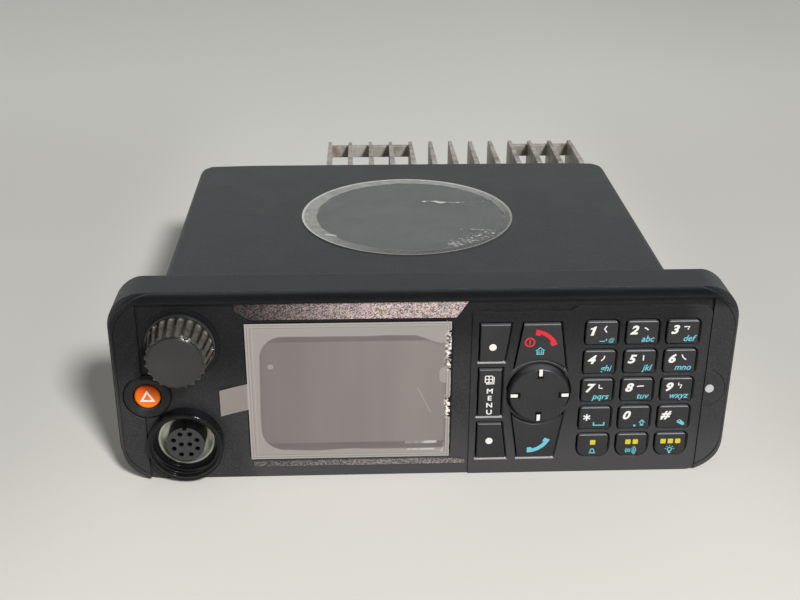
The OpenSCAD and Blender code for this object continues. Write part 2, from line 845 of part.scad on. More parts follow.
module emergency_button() {
    dome = 0.7;
    front = emergency_ring_reach - emergency_sunk;
    color([0.95, 0.42, 0.05]) {
        on_axis(emergency_x, ends_z, flange_y)
            rotate_extrude()
                polygon(concat([[0, 0], [emergency_r, 0]],
                               arc(emergency_r - dome, flange_y + front - dome, dome, 0, 90),
                               [[0, flange_y + front]]));
        rod(emergency_x, ends_z, emergency_r + key_gap + flange_grow, flange_y, flange_y + flange_t);
    }
}

module led_insert() {
    color(black_plastic)
        difference() {
            intersection() {
                rod(end_line, ends_z, led_insert_r, 0, face_depth);
                block(end_line + seat_gap, right_x, -over, face_depth, 0, head_h);
            }
            rod(led_x, ends_z, led_r + seat_gap, -over, face_depth + over);
        }
}

module status_led_lens() {
    color([0.8, 0.8, 0.8])
        rod(led_x, ends_z, led_r, -0.1, board_y);
}

// Display

module trim_strips() {
    slant = 3.6;
    lower_x1 = soft_x - 3.6;
    upper_x0 = window_x + 2.2;
    upper_x1 = window_x + window_w + 1;
    upper_z1 = min(trim_z + trim_h, recess_top - seat_gap);
    lower_z1 = window_z - seat_gap - 0.3;
    color([0.45, 0.42, 0.44]) {
        slab(face_depth - trim_t, face_depth)
            polygon([[upper_x0, trim_z], [upper_x1, trim_z], [upper_x1 + slant, upper_z1],
                     [upper_x0 - slant - 1, upper_z1], [upper_x0 - slant - 1, upper_z1 - 2.6]]);
        slab(face_depth - trim_t, face_depth)
            polygon([[window_x + 1, lower_z1 - trim_low_h], [lower_x1, lower_z1 - trim_low_h],
                     [lower_x1, lower_z1 - 0.4*trim_low_h], [window_x + window_w, lower_z1],
                     [window_x + 1, lower_z1]]);
    }
}

module display_window() {
    color([0.3, 0.29, 0.3])
        slab(window_front, window_front + window_t)
            window_outline(0);
}

module display_film() {
    tab_mid = window_mid_z - tab_drop;
    film_inset = 0.25;
    color(clear_film)
        slab(window_front - film_t, window_front)
            union() {
                translate([window_x + film_inset, window_z + film_inset])
                    square([window_w - 2*film_inset, window_h - 2*film_inset]);
                translate([window_x + film_inset, tab_mid])
                    polygon([[-tab_len, -tab_h/2 - tab_sag], [over, -tab_h/2], [over, tab_h/2],
                             [-tab_len, tab_h/2 - tab_sag]]);
            }
}

module lcd_outline(inset) {
    window_outline(window_border - 2 + inset);
}

module lcd_module() {
    color([0.35, 0.36, 0.33])
        slab(lcd_front, board_y)
            lcd_outline(0);
}

module lcd_gasket() {
    color(rubber_black)
        slab(bezel_back, lcd_front)
            difference() {
                lcd_outline(0);
                lcd_outline(2);
            }
}

// Head board, domes and encoder

module head_board() {
    edge = head_wall + 1;
    color(board_green)
        difference() {
            slab(board_y, board_y + board_t)
                head_outline(edge);
            rod(mic_x, mic_z, mic_tube_r + seat_gap, board_y - over, board_y + board_t + over);
            for (p = head_bosses)
                rod(p[0], p[1], head_screw_r + seat_gap, board_y - over, board_y + board_t + over);
        }
}

module key_domes() {
    dome_r = 2;
    sheet_y = board_y - dome_sheet_t;
    nav_dome = nav_r - 2.9;
    color(steel_grey) {
        difference() {
            block(soft_x - 1, end_line - 1, sheet_y, board_y,
                  key_z(key_rows - 1) - cap_h/2 + 1, keypad_z + cap_h/2);
            rod(nav_x, nav_z, nav_hub_r + 1, sheet_y - over, board_y + over);
        }
        for (column = [0:2], row = [0:key_rows - 1])
            rod(key_x(column), key_z(row), dome_r, dome_y, sheet_y);
        for (side = [-1, 1]) {
            rod(soft_x + soft_near_w/2, nav_z + side*(soft_near + nav_far)/2, dome_r, dome_y, sheet_y);
            rod(nav_x, nav_z + side*(nav_guard_r + nav_far)/2, dome_r, dome_y, sheet_y);
            rod(nav_x + side*nav_dome, nav_z, dome_r/2, dome_y, sheet_y);
            rod(nav_x, nav_z + side*nav_dome, dome_r/2, dome_y, sheet_y);
        }
        rod(soft_x + menu_w/2, nav_z, dome_r, dome_y, sheet_y);
        rod(emergency_x, ends_z, dome_r, flange_y + flange_t + emergency_travel + stop_gap, board_y);
    }
}

module encoder_body() {
    chamber_front = shaft_end - 0.4;
    color(steel_grey)
        difference() {
            union() {
                block(knob_x - encoder_half, knob_x + encoder_half, bezel_back, board_y,
                      knob_z - encoder_half, knob_z + encoder_half);
                rod(knob_x, knob_z, shaft_r + 1.4, face_depth + 0.4, bezel_back + over);
            }
            rod(knob_x, knob_z, shaft_r + run_gap, 0, board_y - 0.2);
            rod(knob_x, knob_z, plunger_r + run_gap, chamber_front, board_y - 0.2);
        }
}

module encoder_plunger() {
    color([0.85, 0.85, 0.8])
        rod(knob_x, knob_z, plunger_r, shaft_end + 0.02, shaft_end + 0.57);
}

module knob_shaft() {
    color(steel_grey)
        rod(knob_x, knob_z, shaft_r, knob_front_t - knob_reach, shaft_end);
}

module volume_knob() {
    height = knob_reach + knob_back;
    cap_edge = 0.3;
    foot_r = knob_base_r - 0.4;
    rib_r = knob_front_r + knob_rib;
    grip_h0 = knob_foot_h + 0.4;
    grip_h1 = height - knob_cap_t;
    tilt = atan((foot_r - rib_r)/(grip_h1 - grip_h0));
    flute_start = 1.3;
    flute_len = (height - grip_h0)/cos(tilt) - flute_start + over;
    flute_out = 0.2*flute_r;
    color(gloss_plastic)
        on_axis(knob_x, knob_z, knob_back)
            difference() {
                rotate_extrude()
                    polygon(concat([[0, 0], [knob_base_r, 0], [knob_base_r, knob_foot_h], [foot_r, grip_h0],
                                    [rib_r, grip_h1]],
                                   arc(knob_front_r - cap_edge, height - cap_edge, cap_edge, 0, 90),
                                   [[0, height]]));
                translate([0, 0, -over])
                    cylinder(r = shaft_r + run_gap, h = height - knob_front_t + over + run_gap);
                for (i = [0:knob_flutes - 1])
                    rotate([0, 0, 360*i/knob_flutes])
                        translate([foot_r + flute_out, 0, grip_h0])
                            rotate([0, -tilt, 0])
                                translate([0, 0, flute_start]) {
                                    cylinder(r = flute_r, h = flute_len);
                                    sphere(r = flute_r);
                                }
            }
}

module head_screws() {
    color(steel_grey)
        for (p = head_bosses) {
            rod(p[0], p[1], head_boss_r - 0.3, head_d - screw_head_h, head_d - 0.2);
            rod(p[0], p[1], head_screw_r, bezel_back - 0.4, head_d - screw_head_h);
        }
}

module connector_window() {
    translate([-connector_half - seat_gap, main_board_top - seat_gap])
        square([2*(connector_half + seat_gap), connector_h + 2*seat_gap]);
}

module head_connector() {
    color([0.12, 0.12, 0.12])
        block(-connector_half, connector_half, board_y + board_t, board_y0 + connector_reach,
              main_board_top, main_board_top + connector_h);
}

// Microphone socket

module mic_socket_boss() {
    edge = 0.8;
    bulge_front = mic_reach - 0.9;
    color(gloss_plastic)
        difference() {
            union() {
                on_axis(mic_x, mic_z, face_depth)
                    rotate_extrude()
                        polygon(concat([[0, 0], [mic_rim_r, 0]],
                                       arc(mic_rim_r - edge, face_depth + mic_reach - edge, edge, 0, 90),
                                       [[0, face_depth + mic_reach]]));
                rod(mic_x, mic_z, mic_tube_r, face_depth - over/2, mic_back);
                rod(mic_x, mic_z - mic_bulge_drop, mic_rim_r, -bulge_front, face_depth);
            }
            rod(mic_x, mic_z, mic_shell_r + run_gap, -mic_reach - over, mic_back + over);
            rod(mic_x, mic_z, mic_bore_r, -mic_reach - over, mic_shell_front - seat_gap);
            rod(mic_x, mic_z, mic_bore_r + mic_mouth_grow, -mic_reach - over, mic_mouth_depth - mic_reach);
        }
}

module mic_socket_shell() {
    color([0.72, 0.74, 0.66])
        difference() {
            rod(mic_x, mic_z, mic_shell_r, mic_shell_front, mic_back);
            rod(mic_x, mic_z, mic_insert_r + run_gap, mic_shell_front - over, mic_back + over);
            rod(mic_x, mic_z, mic_shell_r - mic_shell_rim, mic_shell_front - over, mic_cup_depth);
            rod(mic_x, mic_z, mic_base_r + run_gap, mic_base_y, mic_back + over);
        }
}

module mic_socket_insert() {
    ring = 0.66*mic_insert_r;
    hole_depth = 3;
    color([0.2, 0.21, 0.22])
        difference() {
            union() {
                rod(mic_x, mic_z, mic_insert_r, -mic_insert_reach, mic_base_y + over);
                rod(mic_x, mic_z, mic_base_r, mic_base_y + run_gap, mic_back);
            }
            for (i = [0:7])
                rod(mic_x + ring*cos(22.5 + 45*i), mic_z + ring*sin(22.5 + 45*i), mic_contact_r,
                    -mic_insert_reach - over, hole_depth);
            for (side = [-1, 1])
                rod(mic_x + side*ring/3, mic_z, mic_contact_r, -mic_insert_reach - over, hole_depth);
            block(mic_x - 0.6, mic_x + 0.6, -mic_insert_reach - over, hole_depth,
                  mic_z + mic_insert_r - 0.9, mic_z + mic_insert_r + over);
        }
}

// Navigation disc

module nav_switch() {
    color([0.15, 0.15, 0.16])
        difference() {
            rod(nav_x, nav_z, nav_hub_r, nav_ball_y + 0.4, board_y);
            on_axis(nav_x, nav_z, nav_ball_y)
                sphere(r = nav_ball_r + run_gap);
        }
}

module nav_pivot() {
    color(steel_grey)
        on_axis(nav_x, nav_z, nav_ball_y)
            sphere(r = nav_ball_r);
}

module nav_disc() {
    dish = 0.25;
    front = nav_t + nav_rise;
    rim_drop = 0.6;
    rim = nav_t - rim_drop;
    plunger_ring = nav_r - 2.9;
    plunger_end = dome_y - key_travel/2 - stop_gap - 0.1;
    color(key_plastic)
        difference() {
            union() {
                on_axis(nav_x, nav_z, nav_t)
                    rotate_extrude()
                        polygon(concat([[0, 0], [nav_r, 0]],
                                       [for (p = arc(0, 0, 1, 0, 90))
                                           [nav_r - nav_edge*(1 - p[0]), rim + (front - rim)*p[1]]],
                                       [[nav_r/2, front - dish], [0, front - dish]]));
                rod(nav_x, nav_z, nav_hub_r, nav_t - over/2, nav_ball_y - 0.4);
                for (a = [0:90:270])
                    rod(nav_x + plunger_ring*cos(a), nav_z + plunger_ring*sin(a), 1,
                        nav_t - over/2, plunger_end);
            }
            on_axis(nav_x, nav_z, nav_ball_y)
                sphere(r = nav_ball_r + run_gap);
        }
}

// Keys

// A cap with rounded front edges between the given sides, held by a flange behind the bezel
module cap_edges(x0, x1, z0, z1) {
    intersection() {
        plate(z0, z1)
            polygon(swapped(front_rounded(x0, x1, 0, flange_y + over, cap_round)));
        beam(x0, x1)
            polygon(front_rounded(z0, z1, 0, flange_y + over, cap_round));
        slab(0, flange_y)
            children();
    }
}

module keypad_key(column, row) {
    x = key_x(column);
    z = key_z(row);
    color(key_plastic) {
        cap_edges(x - cap_w/2, x + cap_w/2, z - cap_h/2, z + cap_h/2)
            keypad_outline(column, row, 0);
        slab(flange_y, flange_y + flange_t)
            keypad_outline(column, row, flange_grow);
    }
}

module function_key(column) {
    x = key_x(column);
    z = key_z(key_rows - 1);
    color(key_plastic) {
        cap_edges(x - cap_w/2, x + cap_w/2, z - cap_h/2, z + cap_h/2)
            function_outline(column, 0);
        slab(flange_y, flange_y + flange_t)
            function_outline(column, flange_grow);
    }
}

module soft_key(side) {
    inner = nav_z + side*soft_near;
    outer = nav_z + side*nav_far;
    color(key_plastic) {
        cap_edges(soft_x, soft_x + soft_far_w, min(inner, outer), max(inner, outer))
            soft_outline(side, 0);
        slab(flange_y, flange_y + flange_t)
            soft_outline(side, flange_grow);
    }
}

module call_key(side) {
    inner = nav_z + side*nav_guard_r/2;
    outer = nav_z + side*nav_far;
    color(key_plastic) {
        cap_edges(nav_x - call_near_w, nav_x + call_near_w, min(inner, outer), max(inner, outer))
            call_outline(side, 0);
        slab(flange_y, flange_y + flange_t)
            call_outline(side, flange_grow);
    }
}

module menu_key() {
    color(key_plastic) {
        cap_edges(soft_x, soft_x + menu_w, nav_z - menu_h/2, nav_z + menu_h/2)
            menu_outline(0);
        slab(flange_y, flange_y + flange_t)
            menu_outline(flange_grow);
    }
}

module key_1() { keypad_key(0, 0); }
module key_2() { keypad_key(1, 0); }
module key_3() { keypad_key(2, 0); }
module key_4() { keypad_key(0, 1); }
module key_5() { keypad_key(1, 1); }
module key_6() { keypad_key(2, 1); }
module key_7() { keypad_key(0, 2); }
module key_8() { keypad_key(1, 2); }
module key_9() { keypad_key(2, 2); }
module key_star() { keypad_key(0, 3); }
module key_0() { keypad_key(1, 3); }
module key_hash() { keypad_key(2, 3); }
module function_key_1() { function_key(0); }
module function_key_2() { function_key(1); }
module function_key_3() { function_key(2); }
module soft_key_upper() { soft_key(1); }
module soft_key_lower() { soft_key(-1); }
module end_key() { call_key(1); }
module send_key() { call_key(-1); }

// Body

// The cover's plan: round corners and a bowed back edge
module cover_plan(inset) {
    intersection() {
        translate([0, (body_y + cover_back)/2])
            two_radius_rect(cover_w - 2*inset, cover_len, cover_r - inset, 1);
        translate([0, cover_back - cover_bow_r])
            circle(r = cover_bow_r, $fn = 720);
    }
}

module cover_edges() {
    intersection() {
        translate([-cover_half, 0])
            square([cover_w, body_h]);
        polygon(swapped([for (p = front_rounded(-cover_half, cover_half, -body_h, 0, cover_round))
                         [-p[0], p[1]]]));
    }
}

module top_cover() {
    ridge = front_rounded(body_y, cover_back, -body_h, 0, cover_round);
    color(cover_grey)
        difference() {
            union() {
                difference() {
                    intersection() {
                        plate(cover_z, body_h)
                            cover_plan(0);
                        slab(body_y, cover_back)
                            cover_edges();
                        beam(-cover_half, cover_half)
                            polygon([for (p = ridge) [p[1], -p[0]]]);
                    }
                    block(-cover_half + cover_wall, cover_half - cover_wall, body_y + cover_wall,
                          rear_y - rear_t - seat_gap, cover_z - over, cover_under);
                    block(-cover_half - over, cover_half + over, rear_y - rear_t - seat_gap,
                          cover_back + over, cover_z - over, cover_under);
                }
                for (side = [-1, 1], y = post_y)
                    post(side*post_x, y, boss_r, post_z, cover_under + over/2);
            }
            for (side = [-1, 1], y = post_y)
                post(side*post_x, y, screw_r + run_gap, post_z - over, post_z + post_hole);
            post(0, badge_y, badge_r + seat_gap, body_h - badge_t, body_h + over);
        }
}

module cover_gasket() {
    strip_in = 0.3;
    outer = cover_half - strip_in;
    inner = cover_half - cover_wall + strip_in;
    color(rubber_black)
        difference() {
            block(-outer, outer, body_y + strip_in, rear_y - rear_t - seat_gap, tray_h, cover_z);
            block(-inner, inner, body_y + cover_wall - strip_in, rear_y, tray_h - over, cover_z + over);
        }
}

module fin(x) {
    tip = total_d;
    root_y = rear_y - over;
    notch_y = cover_back + seat_gap;
    notch_z = cover_under - seat_gap;
    nose = 5;
    slope = 60;
    side = concat([[root_y, fin_bottom], [tip - nose, fin_bottom]],
                  arc(tip - nose, fin_bottom + nose, nose, 270, 360),
                  arc(tip - nose, fin_top - nose, nose, 0, slope),
                  [[notch_y, fin_top], [notch_y, notch_z], [root_y, notch_z]]);
    intersection() {
        beam(x - fin_root_t, x + fin_root_t)
            polygon(side);
        plate(0, body_h)
            polygon([[x - fin_root_t/2, root_y], [x + fin_root_t/2, root_y],
                     [x + fin_tip_t/2, tip], [x - fin_tip_t/2, tip]]);
    }
}

// A bar that joins the fins from first to last near their ends
module fin_bar(first, last) {
    bar_y = total_d - fin_bar_t - 1.2;
    block(fin_first_x + first*fin_pitch, fin_first_x + last*fin_pitch, bar_y, bar_y + fin_bar_t,
          fin_top - 2.6 - fin_bar_h, fin_top - 2.6);
}

module chassis() {
    outer = body_w/2;
    lower = front_rounded(-outer, outer, 0, tray_h, tray_round);
    inner = outer - tray_wall;
    color(cast_grey)
        difference() {
            union() {
                difference() {
                    slab(body_y, rear_y)
                        polygon(swapped(lower));
                    block(-inner, inner, body_y + tray_front, rear_y - rear_t, tray_floor, tray_h + over);
                }
                block(-rear_half, rear_half, rear_y - rear_t, rear_y, tray_floor, rear_top);
                for (side = [-1, 1]) {
                    for (y = post_y)
                        post(side*post_x, y, boss_r, tray_floor - over, post_z);
                    for (y = board_screw_y)
                        post(side*board_screw_x, y, boss_r, tray_floor - over, main_board_z);
                    for (y = bracket_y)
                        translate([side*inner, front_y + y, bracket_z])
                            rotate([0, -90*side, 0])
                                translate([0, 0, -over])
                                    cylinder(r = bracket_r + 2, h = bracket_depth - tray_wall + 1 + over);
                }
                for (i = [0:fin_count - 1])
                    fin(fin_first_x + i*fin_pitch);
                fin_bar(0, fin_left_bar - 1);
                fin_bar(fin_count - fin_right_bar, fin_count - 1);
            }
            for (side = [-1, 1]) {
                for (y = post_y) {
                    post(side*post_x, y, screw_r + seat_gap, -over, post_z + over);
                    post(side*post_x, y, screw_head_r + seat_gap, -over, screw_head_h + 0.6);
                }
                for (y = board_screw_y)
                    post(side*board_screw_x, y, screw_r + run_gap, main_board_z - 5, main_board_z + over);
                for (y = bracket_y)
                    translate([side*(outer + over), front_y + y, bracket_z])
                        rotate([0, -90*side, 0])
                            cylinder(r = bracket_r, h = bracket_depth + over);
                for (z = joint_z)
                    rod(side*joint_x, z, screw_r + seat_gap, body_y - over, body_y + tray_front + over);
            }
            slab(body_y - over, body_y + tray_front + over)
                connector_window();
            rod(antenna_x(), antenna_z(), antenna_r + seat_gap, rear_y - rear_t - over, rear_y + over);
            slab(rear_y - rear_t - over, rear_y + over) {
                power_outline(seat_gap);
                accessory_outline(seat_gap);
            }
        }
}

module top_badge() {
    color([0.36, 0.375, 0.385])
        post(0, badge_y, badge_r, body_h - badge_t, body_h);
}

module badge_film() {
    color(clear_film)
        post(badge_film_shift, badge_y, badge_r + badge_film_grow, body_h, body_h + badge_film_t);
}

module main_board() {
    color(board_green)
        difference() {
            block(-main_board_half, main_board_half, board_y0, board_y1, main_board_z, main_board_top);
            for (side = [-1, 1], y = board_screw_y)
                post(side*board_screw_x, y, screw_r + seat_gap, main_board_z - over, main_board_top + over);
        }
}

module rf_shield() {
    y0 = board_y0 + shield_front;
    y1 = board_y1 - shield_back;
    top = main_board_top + shield_h;
    color(steel_grey)
        difference() {
            block(-shield_half, shield_half, y0, y1, main_board_top, top);
            block(shield_wall - shield_half, shield_half - shield_wall, y0 + shield_wall, y1 - shield_wall,
                  main_board_top - over, top - shield_wall);
        }
}

// Sockets at the back

function antenna_x() = antenna_inset - cover_half;
function antenna_z() = body_h - antenna_drop;
function power_x() = power_inset - cover_half;
function accessory_x() = accessory_inset - cover_half;

module power_outline(grow) {
    translate([power_x(), antenna_z()])
        square([power_w + 2*grow, power_h + 2*grow], center = true);
}

module accessory_outline(grow) {
    translate([accessory_x(), accessory_z])
        square([accessory_w + 2*grow, accessory_h + 2*grow], center = true);
}

module antenna_socket() {
    flange_r = antenna_r + 2;
    bore_depth = antenna_len - 3;
    color([0.75, 0.72, 0.62])
        difference() {
            union() {
                rod(antenna_x(), antenna_z(), antenna_r, rear_y - rear_t - 3, rear_y + antenna_len);
                rod(antenna_x(), antenna_z(), flange_r, rear_y, rear_y + 1.6);
            }
            difference() {
                rod(antenna_x(), antenna_z(), antenna_r - 1, rear_y + antenna_len - bore_depth,
                    rear_y + antenna_len + over);
                rod(antenna_x(), antenna_z(), 0.8, rear_y, rear_y + antenna_len - 2);
            }
        }
}

module power_socket() {
    floor_y = rear_y - 2;
    color([0.14, 0.14, 0.14])
        difference() {
            slab(rear_y - rear_t - 2, rear_y + socket_len)
                power_outline(0);
            difference() {
                slab(floor_y, rear_y + socket_len + over)
                    power_outline(-socket_wall);
                for (side = [-1, 1])
                    rod(power_x() + side*power_w/4, antenna_z(), 0.9, floor_y - over, rear_y + 1);
            }
        }
}

module accessory_socket() {
    floor_y = rear_y + 2;
    color([0.62, 0.62, 0.62])
        difference() {
            slab(rear_y - rear_t - 2, rear_y + socket_len)
                accessory_outline(0);
            slab(floor_y, rear_y + socket_len + over)
                accessory_outline(-socket_wall);
        }
}

// Screws

module cover_screws() {
    color(steel_grey)
        for (side = [-1, 1], y = post_y) {
            post(side*post_x, y, screw_head_r, 0.6, screw_head_h + 0.6);
            post(side*post_x, y, screw_r, screw_head_h + 0.6, post_z + post_hole - 1);
        }
}

module inner_screws() {
    inside_y = body_y + tray_front;
    color(steel_grey)
        for (side = [-1, 1]) {
            for (y = board_screw_y) {
                post(side*board_screw_x, y, screw_head_r, main_board_top, main_board_top + screw_head_h);
                post(side*board_screw_x, y, screw_r, main_board_z - 4.5, main_board_top);
            }
            for (z = joint_z) {
                rod(side*joint_x, z, screw_head_r, inside_y, inside_y + screw_head_h);
                rod(side*joint_x, z, screw_r, rear_wall_y - 2.5, inside_y);
            }
        }
}

head_bezel();
head_rear_housing();
head_gasket();
left_end_cap();
right_end_cap();
emergency_ring();
emergency_button();
led_insert();
status_led_lens();
trim_strips();
display_window();
display_film();
lcd_module();
lcd_gasket();
head_board();
key_domes();
mic_socket_boss();
mic_socket_shell();
mic_socket_insert();
encoder_body();
encoder_plunger();
knob_shaft();
volume_knob();
head_screws();
head_connector();
nav_switch();
nav_pivot();
nav_disc();
key_1();
key_2();
key_3();
key_4();
key_5();
key_6();
key_7();
key_8();
key_9();
key_star();
key_0();
key_hash();
function_key_1();
function_key_2();
function_key_3();
soft_key_upper();
soft_key_lower();
menu_key();
end_key();
send_key();
chassis();
top_cover();
cover_gasket();
top_badge();
badge_film();
main_board();
rf_shield();
antenna_socket();
power_socket();
accessory_socket();
cover_screws();
inner_screws();
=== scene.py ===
# The looks of a two-way mobile radio: finishes for its moulded, painted and cast pieces, the printed
# legends of its keys, and the protective films that still lie on the display and on the cover.
# Lengths are in millimetres until MM turns them into the frame's metres.

import math
import random

import bpy
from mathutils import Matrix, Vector


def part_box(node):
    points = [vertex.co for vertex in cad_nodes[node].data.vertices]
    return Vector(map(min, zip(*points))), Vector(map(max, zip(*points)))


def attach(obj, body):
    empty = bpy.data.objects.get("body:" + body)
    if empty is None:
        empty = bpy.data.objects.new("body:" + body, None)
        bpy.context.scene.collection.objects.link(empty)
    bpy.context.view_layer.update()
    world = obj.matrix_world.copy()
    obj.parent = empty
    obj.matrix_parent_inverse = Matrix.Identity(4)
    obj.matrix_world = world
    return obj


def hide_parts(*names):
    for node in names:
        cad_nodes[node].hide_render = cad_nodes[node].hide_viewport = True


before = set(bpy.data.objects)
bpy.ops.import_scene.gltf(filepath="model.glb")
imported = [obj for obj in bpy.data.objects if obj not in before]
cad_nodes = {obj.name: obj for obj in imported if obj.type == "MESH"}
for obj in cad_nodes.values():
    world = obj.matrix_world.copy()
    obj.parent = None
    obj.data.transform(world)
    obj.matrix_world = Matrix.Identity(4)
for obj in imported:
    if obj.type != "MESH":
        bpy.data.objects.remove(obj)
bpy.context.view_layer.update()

MM = 0.001


def box_mm(node):
    low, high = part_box(node)
    return Vector(low) / MM, Vector(high) / MM


def middle_mm(node):
    low, high = box_mm(node)
    return (low + high) / 2


FRONT_Y = box_mm("key_1")[0].y
NAV = middle_mm("nav_disc")
NAV_LOW, NAV_HIGH = box_mm("nav_disc")
MENU = middle_mm("menu_key")
KNOB_LOW, KNOB_HIGH = box_mm("volume_knob")
EMERGENCY_LOW, EMERGENCY_HIGH = box_mm("emergency_button")
WINDOW = middle_mm("display_window")
WINDOW_LOW, WINDOW_HIGH = box_mm("display_window")
WINDOW_HALF = (WINDOW_HIGH - WINDOW_LOW) / 2
BADGE = middle_mm("top_badge")
BADGE_FILM = middle_mm("badge_film")
BADGE_FILM_LOW, BADGE_FILM_HIGH = box_mm("badge_film")
BADGE_FILM_R = (BADGE_FILM_HIGH.x - BADGE_FILM_LOW.x) / 2

# Bright reflections in the display film, from the window's lower right corner: two ends and half a width
FILM_GLEAMS = [
    ((-13.5, 5.4), (-4.6, 5.5), 0.3),
    ((-13.0, 2.9), (-5.0, 2.9), 0.12),
    ((-2.6, 2.0), (-2.0, 5.0), 0.1),
]

# Heights above the window's lower edge where the display film's right edge is torn, from and to
FILM_TEARS = [(14.5, 21.5), (30.5, 43.5)]

# Folds in the film on the cover, from the badge's middle: two ends and half a width
BADGE_CREASES = [
    ((BADGE.x + a, BADGE.y + b), (BADGE.x + c, BADGE.y + d), width) for a, b, c, d, width in (
        (6, 13.8, 10.5, 13.2, 0.5),
        (10.5, 13.2, 15, 12.0, 0.8),
        (15, 12.0, 23, 12.2, 0.35),
        (23, 12.2, 32, 13.4, 0.3),
        (18, -15.6, 30, -17.4, 0.25),
        (-31, -19.5, -28, -21, 0.6),
        (-21, -1.5, -19.5, -2.2, 0.3),
    )]

COOL_SHEEN = (0.93, 0.94, 1.0, 1)  # tint of what the black pieces reflect


# Node trees

class Nodes:
    """A node tree being built. A value is another node's socket, or a plain number, vector or colour."""

    def __init__(self, tree):
        self.tree = tree

    def node(self, kind, **settings):
        made = self.tree.nodes.new(kind)
        for label, value in settings.items():
            setattr(made, label, value)
        return made

    def put(self, value, socket):
        if isinstance(value, bpy.types.NodeSocket):
            self.tree.links.new(value, socket)
        else:
            socket.default_value = value

    def math(self, operation, *values):
        made = self.node("ShaderNodeMath", operation=operation)
        for value, socket in zip(values, made.inputs):
            self.put(value, socket)
        return made.outputs[0]

    def vector(self, operation, *values, result="Vector"):
        made = self.node("ShaderNodeVectorMath", operation=operation)
        for value, socket in zip(values, made.inputs):
            self.put(value, socket)
        return made.outputs[result]

    def folded(self, operation, values):
        total = values[0]
        for value in values[1:]:
            total = self.math(operation, total, value)
        return total

    def times(self, *values):
        return self.folded("MULTIPLY", values)

    def plus(self, *values):
        return self.folded("ADD", values)

    def most(self, *values):
        return self.folded("MAXIMUM", values)

    def least(self, *values):
        return self.folded("MINIMUM", values)

    def less(self, value, taken):
        return self.math("SUBTRACT", value, taken)

    def off(self, value, middle):
        """How far a value is from a middle, either way."""
        return self.math("ABSOLUTE", self.less(value, middle))

    def combine(self, value):
        """One value as a vector or a grey."""
        made = self.node("ShaderNodeCombineXYZ")
        for socket in made.inputs:
            self.put(value, socket)
        return made.outputs[0]

    def span(self, value, low, high, to_low=0.0, to_high=1.0, curve="SMOOTHSTEP"):
        """Carries value from the range low to high over to the range to_low to to_high."""
        made = self.node("ShaderNodeMapRange", interpolation_type=curve)
        for number, label in zip((value, low, high, to_low, to_high),
                                 ("Value", "From Min", "From Max", "To Min", "To Max")):
            self.put(number, made.inputs[label])
        return made.outputs["Result"]

    def band(self, value, low, high, soft):
        """One between low and high, and nothing outside them."""
        above_low = self.span(value, low - soft, low + soft)
        return self.times(above_low, self.span(value, high + soft, high - soft))

    def mix(self, share, first, second, blend="MIX"):
        made = self.node("ShaderNodeMix", data_type="RGBA", blend_type=blend)
        self.put(share, made.inputs["Factor"])
        for colour, label in ((first, "A"), (second, "B")):
            socket = [s for s in made.inputs if s.name == label and s.type == "RGBA"][0]
            self.put((*colour, 1) if isinstance(colour, tuple) else colour, socket)
        return [s for s in made.outputs if s.type == "RGBA"][0]


